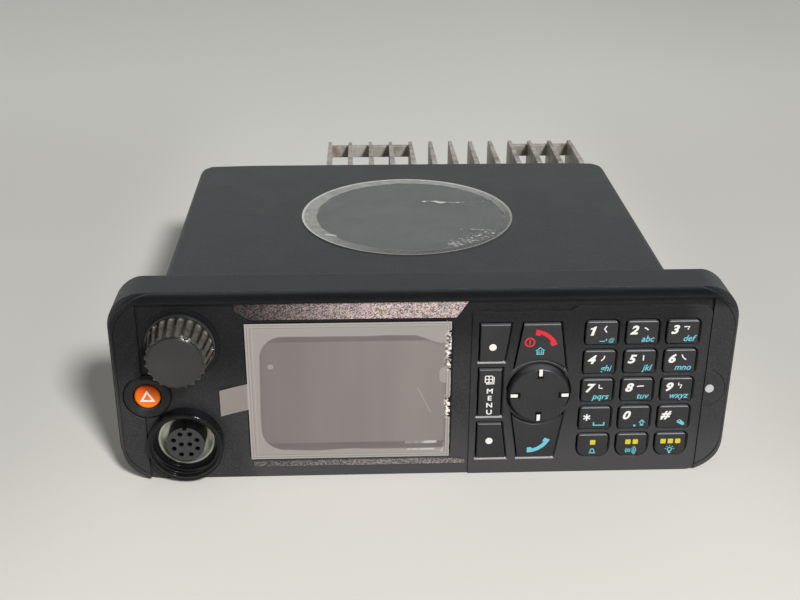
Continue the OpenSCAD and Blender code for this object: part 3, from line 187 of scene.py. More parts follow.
class Finish(Nodes):
    """A procedural material: its main shader and the nodes that feed it, placed in millimetres."""

    def __init__(self, name, colour, roughness, **sockets):
        self.material = bpy.data.materials.new(name)
        self.material.use_nodes = True
        super().__init__(self.material.node_tree)
        self.shader = self.tree.nodes["Principled BSDF"]
        self.shader.inputs["Base Color"].default_value = (*colour, 1)
        self.shader.inputs["Roughness"].default_value = roughness
        for label, value in sockets.items():
            self.shader.inputs[label.replace("_", " ")].default_value = value
        in_mm = self.node("ShaderNodeMapping")
        in_mm.inputs["Scale"].default_value = (1 / MM, 1 / MM, 1 / MM)
        self.put(self.node("ShaderNodeTexCoord").outputs["Object"], in_mm.inputs["Vector"])
        self.place = in_mm.outputs[0]
        split = self.node("ShaderNodeSeparateXYZ")
        self.put(self.place, split.inputs[0])
        self.x, self.y, self.z = split.outputs

    def stretched(self, size, stretch):
        mapping = self.node("ShaderNodeMapping")
        mapping.inputs["Scale"].default_value = [1 / (size * share) for share in stretch]
        self.put(self.place, mapping.inputs["Vector"])
        return mapping.outputs[0]

    def noise(self, size, detail=2.0, stretch=(1, 1, 1)):
        """Cloudy noise whose features are about size across."""
        made = self.node("ShaderNodeTexNoise")
        self.put(self.stretched(size, stretch), made.inputs["Vector"])
        made.inputs["Scale"].default_value = 1
        made.inputs["Detail"].default_value = detail
        return made.outputs["Fac"]

    def sway(self, size, detail, reach):
        """Noise that wanders by up to half of reach to either side of nothing."""
        return self.times(self.less(self.noise(size, detail), 0.5), reach)

    def flakes(self, size):
        """A random colour for each of many small cells."""
        made = self.node("ShaderNodeTexVoronoi")
        self.put(self.stretched(size, (1, 1, 1)), made.inputs["Vector"])
        made.inputs["Scale"].default_value = 1
        return made.outputs["Color"]

    def from_middle(self, across, up, middle, half=(0, 0), corner=0.0):
        """Distance from a rounded box about a middle in two of the axes, negative inside it."""
        parts = []
        for value, centre, reach in zip((across, up), middle, half):
            outside = self.most(self.less(self.off(value, centre), reach - corner), 0.0)
            parts.append(self.math("POWER", outside, 2.0))
        return self.less(self.math("SQRT", self.plus(*parts)), corner)

    def from_line(self, start, end):
        """Distance from a straight line between two points."""
        start, end = Vector(start), Vector(end)
        along = end - start
        from_start = self.vector("SUBTRACT", self.place, start)
        passed = self.vector("DOT_PRODUCT", from_start, along, result="Value")
        done = self.least(self.most(self.math("DIVIDE", passed, along.length_squared), 0.0), 1.0)
        reached = self.vector("MULTIPLY", self.combine(done), along)
        return self.vector("DISTANCE", from_start, reached, result="Value")

    def flat_normal(self):
        return self.node("ShaderNodeNewGeometry").outputs["Normal"]

    def softened(self, radius):
        """The normal of edges that are rounded by radius."""
        made = self.node("ShaderNodeBevel", samples=4)
        made.inputs["Radius"].default_value = radius * MM
        return made.outputs[0]

    def facing(self, normal, direction):
        """How squarely a normal looks along a direction."""
        return self.vector("DOT_PRODUCT", normal, direction, result="Value")

    def edge_wear_and_highlight(self, radius):
        """One along edges and nothing on the flats."""
        return self.span(self.facing(self.softened(radius), self.flat_normal()), 0.98, 0.8)

    def tone(self):
        """The colour so far."""
        return self.shader.inputs["Base Color"].links[0].from_socket

    def colour(self, value):
        self.put(value, self.shader.inputs["Base Color"])

    def rough(self, value):
        self.put(value, self.shader.inputs["Roughness"])

    def shiny(self, value):
        self.put(value, self.shader.inputs["Specular IOR Level"])

    def relief(self, height, depth, edge=0.0):
        """Bump of the given depth, on edges that are softened by edge."""
        made = self.node("ShaderNodeBump")
        made.inputs["Strength"].default_value = 1
        made.inputs["Distance"].default_value = depth * MM
        self.put(height, made.inputs["Height"])
        if edge:
            self.put(self.softened(edge), made.inputs["Normal"])
        self.put(made.outputs[0], self.shader.inputs["Normal"])


# Finishes of the moulded, painted and cast pieces

UPWARDS = (0, 0, 1)
FORWARDS = (0, -1, 0)


def surface(name, dark, light, worn, roughness, grain, depth, edge, **sockets):
    """A plain finish: fine grain, faint clouding, and edges that are softened and lighter, partly from wear
    and partly as a painted highlight.
    """
    finish = Finish(name, dark, roughness, **sockets)
    clouds = finish.noise(14, 3)
    grain_noise = finish.noise(grain, 2)
    tone = finish.mix(finish.span(clouds, 0.3, 0.7), dark, light)
    tone = finish.mix(finish.span(grain_noise, 0.48, 0.8, 0, 0.4), tone, worn)
    # Lighter edges: partly wear, partly a painted highlight along the edges.
    rubbed = finish.times(finish.edge_wear_and_highlight(edge), finish.span(finish.noise(4, 3), 0.35, 0.6))
    finish.colour(finish.mix(finish.times(rubbed, 0.7), tone, worn))
    finish.rough(finish.span(clouds, 0.3, 0.7, roughness - 0.03, roughness + 0.03))
    finish.relief(grain_noise, depth, edge)
    return finish


def head_plastic():
    """Satin black plastic, with painted shade on and below the brow, painted light towards the foot, and
    painted highlights on ledges under keys.
    """
    finish = surface("head_black", (0.0095, 0.0096, 0.0104), (0.014, 0.0143, 0.0154), (0.085, 0.086, 0.09),
                     0.5, 0.36, 0.028, 0.25, Specular_Tint=COOL_SHEEN)
    # Painted shade on and below the brow, with a weaker reflection there too.
    dark = painted_brow_shade(finish)
    tone = finish.mix(finish.times(dark, 0.75), finish.tone(), (0.004, 0.0043, 0.0048))
    # Painted light on the face towards its foot.
    tone = finish.mix(finish.times(painted_foot_light(finish), 0.7), tone, (0.048, 0.0455, 0.047))
    # Painted highlights on the upward ledges under the keys.
    finish.colour(finish.mix(finish.times(painted_ledge_highlights(finish), 0.9), tone, (0.6, 0.58, 0.57)))
    finish.shiny(finish.span(dark, 0, 1, 0.5, 0.12))
    return finish


def on_head_front(finish):
    """One on the head's front faces and nothing further back."""
    front = box_mm("head_bezel")[0].y
    return finish.span(finish.y, front + 3, front + 2)


def painted_brow_shade(finish):
    """Painted shade on the brow's blunt front and on the face below it, most at the left."""
    low, high = box_mm("head_bezel")
    right_cap = box_mm("right_end_cap")[0].x
    brow_z = high.z - 2.6
    brow = finish.times(finish.span(finish.z, brow_z, brow_z + 0.5),
                        finish.span(finish.y, low.y + 4.5, low.y + 1.0))
    rise = finish.plus(finish.z, finish.span(finish.x, WINDOW_LOW.x, WINDOW_HIGH.x, 10, 0))
    strength = finish.times(finish.span(finish.x, WINDOW_LOW.x, WINDOW_HIGH.x, 0.78, 0.7),
                            finish.span(finish.x, right_cap - 10, right_cap, 1, 0.3))
    below = finish.most(finish.span(finish.z, brow_z - 4, brow_z - 1, 0, 0.7),
                        finish.times(finish.span(rise, brow_z - 31, brow_z - 5), strength))
    return finish.most(brow, finish.times(below, on_head_front(finish)))


def painted_foot_light(finish):
    """Painted light on the face towards its foot, from the window on to the right."""
    foot_z = box_mm("head_bezel")[0].z
    return finish.times(finish.span(finish.z, foot_z + 26, foot_z + 3),
                        finish.span(finish.x, WINDOW_LOW.x - 5, WINDOW_LOW.x + 5), on_head_front(finish))


def painted_ledge_highlights(finish):
    """Painted highlight on upward edges under the soft, menu, end and send keys, and faint around the disc.
    """
    left, right, low_z = box_mm("menu_key")[0].x - 2, box_mm("end_key")[1].x, box_mm("send_key")[0].z - 1.5
    disc_r = (NAV_HIGH.x - NAV_LOW.x) / 2
    off_disc = finish.from_middle(finish.x, finish.z, (NAV.x, NAV.z))
    at_keys = finish.times(finish.band(finish.x, left, right, 0.5),
                           finish.band(finish.z, low_z, NAV.z + 12, 0.5),
                           finish.span(off_disc, disc_r + 1.5, disc_r + 2.5, 0.25, 1))
    return finish.times(at_keys, finish.span(finish.facing(finish.softened(0.4), UPWARDS), 0.25, 0.6))


def key_plastic(name, turned_up, **sockets):
    """Smooth black plastic, with a painted highlight along edges that are turned up more than the given
    share.
    """
    finish = surface(name, (0.0098, 0.0099, 0.0105), (0.0142, 0.0144, 0.0151), (0.048, 0.049, 0.051),
                     0.36, 0.4, 0.012, 0.25, Specular_Tint=COOL_SHEEN, **sockets)
    # Painted highlight along the edges that face upwards.
    upper = finish.span(finish.facing(finish.softened(0.25), UPWARDS), turned_up, turned_up + 0.45, 0, 0.8)
    finish.colour(finish.mix(upper, finish.tone(), (0.1, 0.101, 0.105)))
    return finish


def glitter_foil():
    """Foil full of fine coloured flakes, brighter towards its right end."""
    finish = Finish("glitter_foil", (0.3, 0.25, 0.24), 0.4)
    flake = finish.flakes(0.3)
    split = finish.node("ShaderNodeSeparateColor")
    finish.put(flake, split.inputs[0])
    right = finish.span(finish.x, WINDOW_LOW.x - 4, WINDOW_LOW.x + 46)
    upper = finish.mix(right, (0.035, 0.03, 0.03), (0.37, 0.303, 0.292))
    lower = finish.mix(right, (0.1, 0.092, 0.092), (0.16, 0.145, 0.145))
    tone = finish.mix(finish.span(finish.z, WINDOW_LOW.z, WINDOW_HIGH.z), lower, upper)
    tinted = finish.mix(0.3, tone, finish.mix(1.0, tone, flake, "MULTIPLY"))
    shade = finish.combine(finish.span(split.outputs["Red"], 0.05, 0.95, 0.35, 1.75))
    finish.colour(finish.mix(1.0, tinted, shade, "MULTIPLY"))
    finish.rough(finish.span(split.outputs["Green"], 0, 1, 0.25, 0.6))
    finish.shiny(finish.span(right, 0, 1, 0.1, 0.5))
    finish.relief(split.outputs["Blue"], 0.05)
    return finish


def knob_plastic():
    """A satin cap, glossy ribs, and dust in the flutes between them."""
    finish = surface("knob_plastic", (0.013, 0.013, 0.0138), (0.021, 0.021, 0.0218), (0.05, 0.05, 0.05),
                     0.4, 0.3, 0.006, 0.15)
    knob = (KNOB_LOW + KNOB_HIGH) / 2
    foot_r, rib_r, rib_end = 10.0, 8.9, KNOB_LOW.y + 1.1
    off_axis = finish.from_middle(finish.x, finish.z, (knob.x, knob.z))
    rib_line = finish.span(finish.y, rib_end, KNOB_HIGH.y - 1.3, rib_r, foot_r)
    sunk = finish.span(finish.less(rib_line, off_axis), 0.1, 0.35)
    in_flute = finish.times(sunk, finish.span(finish.y, rib_end - 0.4, rib_end))
    dust = finish.times(in_flute, finish.span(finish.noise(1.6, 3), 0.2, 0.6, 0.35, 1.0))
    finish.colour(finish.mix(finish.times(dust, 0.75), finish.tone(), (0.12, 0.112, 0.085)))
    cap = finish.span(finish.y, rib_end - 0.9, rib_end - 1.05)
    finish.rough(finish.plus(finish.times(cap, 0.22), finish.span(dust, 0, 1, 0.18, 0.5)))
    return finish


def cast_metal():
    """Bare cast metal: pitted skin, brown stains at the fins, and brighter edges, partly from wear and partly
    as a painted highlight.
    """
    finish = surface("cast_metal", (0.34, 0.318, 0.278), (0.47, 0.445, 0.4), (0.62, 0.6, 0.56),
                     0.5, 0.7, 0.05, 0.4, Metallic=0.25)
    back_y = box_mm("chassis")[1].y
    at_fins = finish.span(finish.y, back_y - 42, back_y - 30, 0.2, 0.8)
    stain = finish.times(at_fins, finish.span(finish.noise(5, 6, (1, 1, 1.6)), 0.42, 0.72))
    finish.colour(finish.mix(stain, finish.tone(), (0.2, 0.142, 0.1)))
    return finish


def button_plastic():
    """Bright orange plastic, with painted shade towards the top of the hollowed button and painted light
    towards its foot.
    """
    finish = surface("orange_plastic", (0.74, 0.125, 0.003), (0.8, 0.15, 0.004), (0.85, 0.25, 0.03),
                     0.35, 0.5, 0.003, 0.3, Specular_IOR_Level=0.2)
    turning_z = EMERGENCY_LOW.z + 4
    # Painted shade towards the top of the button and painted light towards its foot.
    deep = finish.span(finish.z, turning_z, EMERGENCY_HIGH.z, 0, 0.85)
    pale = finish.span(finish.z, turning_z, EMERGENCY_LOW.z, 0, 0.7)
    tone = finish.mix(deep, finish.tone(), (0.42, 0.03, 0.001))
    finish.colour(finish.mix(pale, tone, (0.78, 0.24, 0.02)))
    return finish


def socket_insert_plastic():
    """Grey on the front face that holds the contacts, and black as painted shade on the sides down in the
    socket.
    """
    finish = surface("socket_insert", (0.02, 0.0205, 0.022), (0.026, 0.0265, 0.028), (0.06, 0.06, 0.06),
                     0.45, 0.3, 0.008, 0.15)
    # Painted shade: surfaces not facing forwards are made black.
    in_front = finish.span(finish.facing(finish.flat_normal(), FORWARDS), 0.3, 0.8)
    finish.colour(finish.mix(in_front, (0.003, 0.003, 0.0033), finish.tone()))
    return finish


# Finishes of the films and inks

def display_film_finish():
    """Milky film: pale where it stands off, darker where it clings to the window, with a torn right edge."""
    finish = Finish("display_film_finish", (0.4, 0.37, 0.35), 0.3)
    clings, cling_tone = film_cling(finish)
    tone = finish.mix(clings, (0.275, 0.248, 0.232), cling_tone)
    tone = film_folds(finish, tone)
    tone = film_marks(finish, tone)
    tone = film_crumbs(finish, tone)
    on_tab = finish.span(finish.x, WINDOW_LOW.x + 0.3, WINDOW_LOW.x - 0.3)
    finish.colour(finish.mix(on_tab, tone, (0.205, 0.182, 0.165)))
    finish.rough(finish.span(clings, 0, 1, 0.42, 0.26))
    finish.relief(finish.plus(finish.noise(11, 2), finish.times(clings, 0.6)), 0.12)
    return finish


def film_cling(finish):
    """Where the film clings, and its tone there: a patch with a slumped right corner and a blister."""
    low, high, half = WINDOW_LOW, WINDOW_HIGH, WINDOW_HALF
    patch_z, patch_half_z = WINDOW.z - 0.6, half.z - 4.0
    slump = finish.times(finish.span(finish.x, high.x - 12, high.x - 3, 0, 2.6),
                         finish.span(finish.z, WINDOW.z, high.z - 6))
    slumped = finish.plus(finish.z, slump)
    rounded = finish.from_middle(finish.x, slumped, (WINDOW.x + 1.0, patch_z),
                                 (half.x - 3.0, patch_half_z), 7.0)
    squared = finish.from_middle(finish.x, slumped, (WINDOW.x + half.x / 2, patch_z),
                                 (half.x / 2 - 1.6, patch_half_z), 1.2)
    outside = finish.plus(finish.sway(18, 1, 1.4), finish.least(rounded, squared))
    off_blister = finish.from_middle(finish.x, finish.z, (high.x - 2.0, low.z + 29), (1.7, 2.7), 1.6)
    blister = finish.span(off_blister, 0.2, -0.2)
    clings = finish.times(finish.span(outside, 0.2, -0.2), finish.span(blister, 0, 1, 1, 0.1))
    tone = finish.mix(finish.span(finish.x, low.x, high.x), (0.155, 0.137, 0.133), (0.19, 0.168, 0.16))
    stripes = finish.plus(finish.span(finish.z, high.z - 6.5, high.z - 6.2),
                          finish.span(finish.z, low.z + 6.0, low.z + 5.7))
    tone = finish.mix(finish.times(stripes, 0.9), tone, (0.115, 0.101, 0.1))
    rim = finish.band(outside, -0.9, 0.0, 0.4)
    tone = finish.mix(finish.times(rim, 0.4), tone, (0.135, 0.12, 0.117))
    streaks = finish.span(finish.noise(14, 2, (1, 1, 5)), 0.3, 0.7, 0.95, 1.06)
    return clings, finish.mix(1.0, tone, finish.combine(streaks), "MULTIPLY")


def film_folds(finish, tone):
    """Adds the pale and dark lines along the film's edges."""
    from_edge = finish.least(finish.less(WINDOW_HALF.x, finish.off(finish.x, WINDOW.x)),
                             finish.less(WINDOW_HALF.z, finish.off(finish.z, WINDOW.z)))
    seam = finish.band(finish.less(finish.x, WINDOW_LOW.x), 2.3, 2.5, 0.1)
    pale = finish.most(finish.band(from_edge, 0.25, 0.65, 0.12),
                       finish.band(from_edge, 1.15, 1.45, 0.12), seam)
    dark = finish.most(finish.band(from_edge, 0.84, 0.98, 0.08), finish.band(from_edge, 1.62, 1.76, 0.08))
    tone = finish.mix(finish.times(pale, 0.35), tone, (0.44, 0.41, 0.39))
    return finish.mix(finish.times(dark, 0.55), tone, (0.11, 0.1, 0.097))


def film_marks(finish, tone):
    """Adds a bubble, broken gleams and a scratch."""
    low, high = WINDOW_LOW, WINDOW_HIGH
    bubble = finish.span(finish.from_middle(finish.x, finish.z, (low.x + 7.4, low.z + 32.5)), 1.1, 0.6)
    tone = finish.mix(finish.times(bubble, 0.6), tone, (0.33, 0.31, 0.3))
    gleams = []
    for (x0, z0), (x1, z1), width in FILM_GLEAMS:
        line = finish.from_line((high.x + x0, low.y, low.z + z0), (high.x + x1, low.y, low.z + z1))
        gleams.append(finish.span(line, width + 0.3, width))
    broken = finish.span(finish.noise(3.5, 2), 0.35, 0.6, 0.15, 0.65)
    tone = finish.mix(finish.times(finish.most(*gleams), broken), tone, (0.6, 0.58, 0.56))
    scratch = finish.from_line((high.x - 10.2, low.y, low.z + 24.6), (high.x - 6.2, low.y, low.z + 16.1))
    return finish.mix(finish.span(scratch, 0.3, 0.1, 0, 0.3), tone, (0.42, 0.4, 0.38))


def film_crumbs(finish, tone):
    """Adds bright and dark crumbs along the torn stretches of the right edge."""
    stretches = [finish.band(finish.z, WINDOW_LOW.z + first, WINDOW_LOW.z + last, 1.0)
                 for first, last in FILM_TEARS]
    at_edge = finish.span(finish.x, WINDOW_HIGH.x - 2.6, WINDOW_HIGH.x - 1.2)
    torn = finish.times(at_edge, finish.most(*stretches))
    crumbs = finish.noise(0.9, 3)
    bright = finish.times(torn, finish.span(crumbs, 0.52, 0.58))
    dark = finish.times(torn, finish.span(crumbs, 0.44, 0.38))
    tone = finish.mix(bright, tone, (0.8, 0.74, 0.66))
    return finish.mix(dark, tone, (0.04, 0.036, 0.034))


def badge_film_finish():
    """Clear film: nearly unseen on the plate, milky where it stands off, white at its creases."""
    finish = Finish("badge_film_finish", (0.42, 0.42, 0.39), 0.22)
    plate_r = (box_mm("top_badge")[1].x - box_mm("top_badge")[0].x) / 2
    off_film = finish.from_middle(finish.x, finish.y, (BADGE_FILM.x, BADGE_FILM.y))
    off_plate = finish.plus(finish.sway(7, 2, 1.6),
                            finish.from_middle(finish.x, finish.y, (BADGE.x, BADGE.y)))
    beside = finish.span(off_plate, plate_r - 0.5, plate_r + 0.3)
    edge = finish.band(off_film, BADGE_FILM_R - 0.9, BADGE_FILM_R + 1, 0.25)
    to_back_left = finish.less(finish.less(finish.y, BADGE_FILM.y),
                               finish.times(finish.less(finish.x, BADGE_FILM.x), 0.6))
    lifted = finish.span(to_back_left, -45, 22, 0.12, 0.8)
    haze = finish.times(beside, lifted, finish.span(finish.noise(4, 3), 0.3, 0.7, 0.75, 1.05))
    creases = []
    for start, end, width in BADGE_CREASES:
        line = finish.plus(finish.from_line((*start, BADGE.z), (*end, BADGE.z)), finish.sway(2.5, 2, 1.2))
        creases.append(finish.span(line, width + 0.4, width))
    along_rim = finish.from_line((BADGE.x + 15, BADGE.y - 29, BADGE.z), (BADGE.x + 29, BADGE.y - 20, BADGE.z))
    pucker = finish.times(finish.span(along_rim, 4.5, 1.5), finish.span(finish.noise(1.3, 4), 0.52, 0.62))
    white = finish.most(finish.times(finish.most(*creases), 0.8), finish.times(pucker, 0.7),
                        finish.times(edge, finish.span(to_back_left, -45, 22, 0.3, 0.75)))
    finish.colour(finish.mix(white, (0.37, 0.375, 0.35), (0.72, 0.7, 0.66)))
    clear = finish.span(finish.noise(9, 2), 0.3, 0.7, 0.02, 0.06)
    finish.put(finish.most(clear, haze, white), finish.shader.inputs["Alpha"])
    finish.relief(finish.noise(6, 2), 0.1)
    return finish


def ink(name, colour, worn):
    """Printing ink: thin, a little uneven, and rubbed in places."""
    finish = Finish(name, colour, 0.45)
    finish.colour(finish.mix(finish.span(finish.noise(0.7, 3), 0.5, 0.75, 0, 0.6), colour, worn))
    finish.rough(finish.span(finish.noise(1.5, 2), 0.3, 0.7, 0.38, 0.52))
    finish.relief(finish.noise(0.3, 2), 0.006)
    return finish


head_black = head_plastic()
key_black = key_plastic("key_black", 0.3)
disc_black = key_plastic("disc_black", 0.62)
ring_black = key_plastic("ring_black", 0.62, Specular_IOR_Level=0.2)
gloss_black = surface("gloss_black", (0.004, 0.004, 0.0045), (0.006, 0.006, 0.0066), (0.03, 0.03, 0.03),
                      0.13, 0.5, 0.003, 0.2, Specular_IOR_Level=0.25, Specular_Tint=COOL_SHEEN)
# Near-black for the wells around the nav pegs: painted shade of their recesses.
painted_well_shade = surface("painted_well_shade", (0.002, 0.002, 0.0022), (0.003, 0.003, 0.0032), (0.01, 0.01, 0.01),
                     0.3, 0.4, 0.003, 0.1, Specular_IOR_Level=0.1)
cover_paint = surface("cover_paint", (0.0168, 0.0169, 0.0178), (0.023, 0.0232, 0.0243), (0.075, 0.076, 0.079),
                      0.5, 0.7, 0.05, 0.3, Specular_Tint=COOL_SHEEN)
soft_rubber = surface("soft_rubber", (0.008, 0.008, 0.008), (0.012, 0.012, 0.012), (0.02, 0.02, 0.02),
                      0.7, 0.4, 0.01, 0.1)
plated_steel = surface("plated_steel", (0.38, 0.38, 0.39), (0.48, 0.48, 0.48), (0.62, 0.62, 0.62),
                       0.32, 0.5, 0.008, 0.15, Metallic=1.0)
orange_plastic = button_plastic()
pale_nickel = surface("pale_nickel", (0.36, 0.37, 0.3), (0.46, 0.47, 0.4), (0.6, 0.61, 0.55),
                      0.3, 0.5, 0.01, 0.15, Metallic=0.6)
insert_grey = socket_insert_plastic()
lamp_grey = surface("lamp_grey", (0.4, 0.41, 0.425), (0.46, 0.47, 0.485), (0.55, 0.55, 0.55),
                    0.3, 0.5, 0.004, 0.15)
board_green = surface("board_green", (0.01, 0.06, 0.025), (0.012, 0.075, 0.03), (0.03, 0.12, 0.06),
                      0.4, 0.5, 0.01, 0.1)
badge_grey = surface("badge_grey", (0.084, 0.088, 0.088), (0.108, 0.113, 0.113), (0.25, 0.256, 0.256),
                     0.5, 0.6, 0.02, 0.2)
knob_black = knob_plastic()
fin_metal = cast_metal()
foil = glitter_foil()
screen_film = display_film_finish()
plate_film = badge_film_finish()
white_ink = ink("white_ink", (0.72, 0.71, 0.685), (0.5, 0.49, 0.48))
blue_ink = ink("blue_ink", (0.13, 0.45, 0.54), (0.08, 0.3, 0.38))
red_ink = ink("red_ink", (0.58, 0.01, 0.024), (0.38, 0.008, 0.016))
yellow_ink = ink("yellow_ink", (0.56, 0.48, 0.012), (0.42, 0.34, 0.015))

KEYPAD_KEYS = [f"key_{mark}" for mark in (*range(1, 10), "star", 0, "hash")]
FUNCTION_KEYS = [f"function_key_{count}" for count in (1, 2, 3)]
OTHER_KEYS = ["soft_key_upper", "soft_key_lower", "menu_key", "end_key", "send_key"]

WORN_BY = [
    (head_black, ["head_bezel", "head_rear_housing", "left_end_cap", "right_end_cap", "led_insert"]),
    (key_black, [*KEYPAD_KEYS, *FUNCTION_KEYS, *OTHER_KEYS, "nav_switch"]),
    (disc_black, ["nav_disc"]),
    (ring_black, ["emergency_ring"]),
    (gloss_black, ["mic_socket_boss", "power_socket", "display_window"]),
    (knob_black, ["volume_knob"]),
    (cover_paint, ["top_cover"]),
    (fin_metal, ["chassis"]),
    (soft_rubber, ["head_gasket", "cover_gasket", "lcd_gasket", "head_connector"]),
    (plated_steel, ["key_domes", "encoder_body", "encoder_plunger", "knob_shaft", "nav_pivot", "rf_shield",
                    "head_screws", "cover_screws", "inner_screws", "antenna_socket", "accessory_socket"]),
    (orange_plastic, ["emergency_button"]),
    (pale_nickel, ["mic_socket_shell"]),
    (insert_grey, ["mic_socket_insert", "lcd_module"]),
    (lamp_grey, ["status_led_lens"]),
    (board_green, ["head_board", "main_board"]),
    (badge_grey, ["top_badge"]),
    (foil, ["trim_strips"]),
]
for finish, wearers in WORN_BY:
    for wearer in wearers:
        for slot in cad_nodes[wearer].material_slots:
            slot.material = finish.material


# Tools for the new pieces

def only(*pieces):
    bpy.ops.object.select_all(action="DESELECT")
    for piece in pieces:
        piece.select_set(True)
    bpy.context.view_layer.objects.active = pieces[0]


def settle(piece):
    """Puts a piece's place, turn and size into its mesh."""
    only(piece)
    bpy.ops.object.transform_apply(location=True, rotation=True, scale=True)


def merge(piece):
    only(piece)
    bpy.ops.object.mode_set(mode="EDIT")
    bpy.ops.mesh.select_all(action="SELECT")
    bpy.ops.mesh.remove_doubles(threshold=1e-7)
    bpy.ops.mesh.normals_make_consistent(inside=False)
    bpy.ops.object.mode_set(mode="OBJECT")


def joined(pieces):
    only(*pieces)
    if len(pieces) > 1:
        bpy.ops.object.join()
    return bpy.context.object


def fit(piece, name, body, finish):
    """Names a finished piece, gives it its finish and lets it ride on a body."""
    piece.name = name
    piece.data.materials.clear()
    piece.data.materials.append(finish.material)
    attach(piece, body)


def print_on(key, piece, label, finish):
    fit(piece, f"{key}_{label}", key + "_body", finish)


def pick(piece, wanted):
    """Goes to edit mode with the vertices selected whose place passes the test."""
    only(piece)
    bpy.ops.object.mode_set(mode="EDIT")
    bpy.ops.mesh.select_mode(type="VERT")
    bpy.ops.mesh.select_all(action="DESELECT")
    bpy.ops.object.mode_set(mode="OBJECT")
    for vertex in piece.data.vertices:
        vertex.select = wanted(vertex.co / MM)
    bpy.ops.object.mode_set(mode="EDIT")


def finished_sheet(sheet, thickness, smooth_below):
    """Gives a sheet its thickness and smooths the bends that are below an angle."""
    only(sheet)
    modifier = sheet.modifiers.new("solidify", "SOLIDIFY")
    modifier.thickness = thickness * MM
    modifier.offset = 1.0
    bpy.ops.object.modifier_apply(modifier=modifier.name)
    merge(sheet)
    only(sheet)
    bpy.ops.object.shade_smooth_by_angle(angle=math.radians(smooth_below))


# Printing

INK_T = 0.02
CAP_SHARE = 0.72  # height of a capital as a share of the font's size


def upright(drawing, x, z, y):
    """Makes a flat drawing a mesh and stands it on a front face."""
    only(drawing)
    bpy.ops.object.convert(target="MESH")
    drawing.location = (x * MM, y * MM, z * MM)
    drawing.rotation_euler = (math.radians(90), 0, 0)
    settle(drawing)
    merge(drawing)
    return drawing


def letters(text, x, z, height, slant=0.0, bold=0.0, wide=1.0, align="CENTER"):
    bpy.ops.object.select_all(action="DESELECT")
    bpy.ops.object.text_add()
    drawing = bpy.context.object
    drawing.data.body = text
    drawing.data.size = height * MM / CAP_SHARE
    drawing.data.shear = slant
    drawing.data.offset = bold * MM
    drawing.data.extrude = INK_T * MM
    drawing.data.resolution_u = 4
    drawing.data.align_x = align
    drawing.data.align_y = "CENTER"
    drawing.scale.x = wide
    return upright(drawing, x, z, FRONT_Y)


def sign(outlines, x, z, y=FRONT_Y):
    """A printed sign from closed outlines about x and z. An outline inside another is a hole."""
    curve = bpy.data.curves.new("sign", "CURVE")
    curve.dimensions = "2D"
    curve.fill_mode = "BOTH"
    curve.extrude = INK_T * MM
    for outline in outlines:
        spline = curve.splines.new("POLY")
        spline.points.add(len(outline) - 1)
        for point, (across, up) in zip(spline.points, outline):
            point.co = (across * MM, up * MM, 0, 1)
        spline.use_cyclic_u = True
    drawing = bpy.data.objects.new("sign", curve)
    bpy.context.collection.objects.link(drawing)
    return upright(drawing, x, z, y)


def on_circle(x, z, r, turn):
    return x + r * math.cos(math.radians(turn)), z + r * math.sin(math.radians(turn))


def bow(x, z, r, start, end, steps=12):
    return [on_circle(x, z, r, start + (end - start) * i / steps) for i in range(steps + 1)]


def circle(x, z, r):
    return bow(x, z, r, 0, 345, 23)


def hoop(x, z, inner, outer):
    return [circle(x, z, outer), circle(x, z, inner)]


def curved_bar(x, z, r, width, start, end):
    return bow(x, z, r + width / 2, start, end) + bow(x, z, r - width / 2, end, start)


def rounded_square(x, z, side, corner):
    inner = side / 2 - corner
    return [point for across, up, start in ((1, 1, 0), (-1, 1, 90), (-1, -1, 180), (1, -1, 270))
            for point in bow(x + across * inner, z + up * inner, corner, start, start + 90, 4)]


def shrunk(outline, share):
    return [(x * share, z * share) for x, z in outline]


def pen_stroke(points, width):
    """The outline of a stroke of one width along a few points."""
    path = [Vector(p) for p in points]
    sides = []
    for i, point in enumerate(path):
        before = (point - path[max(i - 1, 0)]).normalized()
        after = (path[min(i + 1, len(path) - 1)] - point).normalized()
        along = (before + after).normalized()
        sides.append(Vector((-along.y, along.x)) * width / 2)
    there = [tuple(p + s) for p, s in zip(path, sides)]
    back = [tuple(p - s) for p, s in zip(path, sides)]
    return there + back[::-1]


def handset(r, start, end):
    """A telephone handset: a bowed bar with a lobe at each end, towards the bow's middle."""
    width, lobe, lobe_turn = 1.25, 0.55, 13
    outer, inner, deep = r + width / 2, r - width / 2, r - width / 2 - lobe
    return (bow(0, 0, outer, start, end) + bow(0, 0, deep, end, end - lobe_turn, 3)
            + bow(0, 0, inner, end - lobe_turn, start + lobe_turn)
            + bow(0, 0, deep, start + lobe_turn, start, 3))


DIGIT_H, DIGIT_AT = 2.75, (-2.7, 0.8)
LETTER_H, LETTERS_AT, LETTERS_END = 2.0, (1.35, -2.0), 3.5
STROKE_W, STROKES_AT = 0.36, (1.0, 1.3)
ITALIC = 0.28

# Each keypad key's big mark, its small letters and the pen stroke beside the big mark
KEYPAD_MARKS = {
    "key_1": ("1", "", [(0.3, 1.1), (-0.4, 0.15), (0.4, -1.0)]),
    "key_2": ("2", "abc", [(-0.6, 0.4), (0.1, 0.1), (0.6, -0.4)]),
    "key_3": ("3", "def", [(-0.9, 0.55), (0.7, 0.6), (0.25, -0.4)]),
    "key_4": ("4", "ghi", [(0.4, 0.9), (0.2, 0.0), (-0.6, -0.8)]),
    "key_5": ("5", "jkl", [(0.0, 0.9), (0.0, -0.9)]),
    "key_6": ("6", "mno", [(-0.6, 0.9), (-0.1, -0.1), (0.8, -0.8)]),
    "key_7": ("7", "pqrs", [(-0.5, 0.8), (-0.5, -0.4), (0.6, -0.5)]),
    "key_8": ("8", "tuv", [(-1.1, -0.1), (-0.2, 0.1), (1.0, 0.1)]),
    "key_9": ("9", "wxyz", [(-0.5, 1.0), (-0.6, 0.2), (0.4, 0.3), (0.1, -0.9)]),
    "key_star": ("*", "", []),
    "key_0": ("0", "", []),
    "key_hash": ("#", "", []),
}

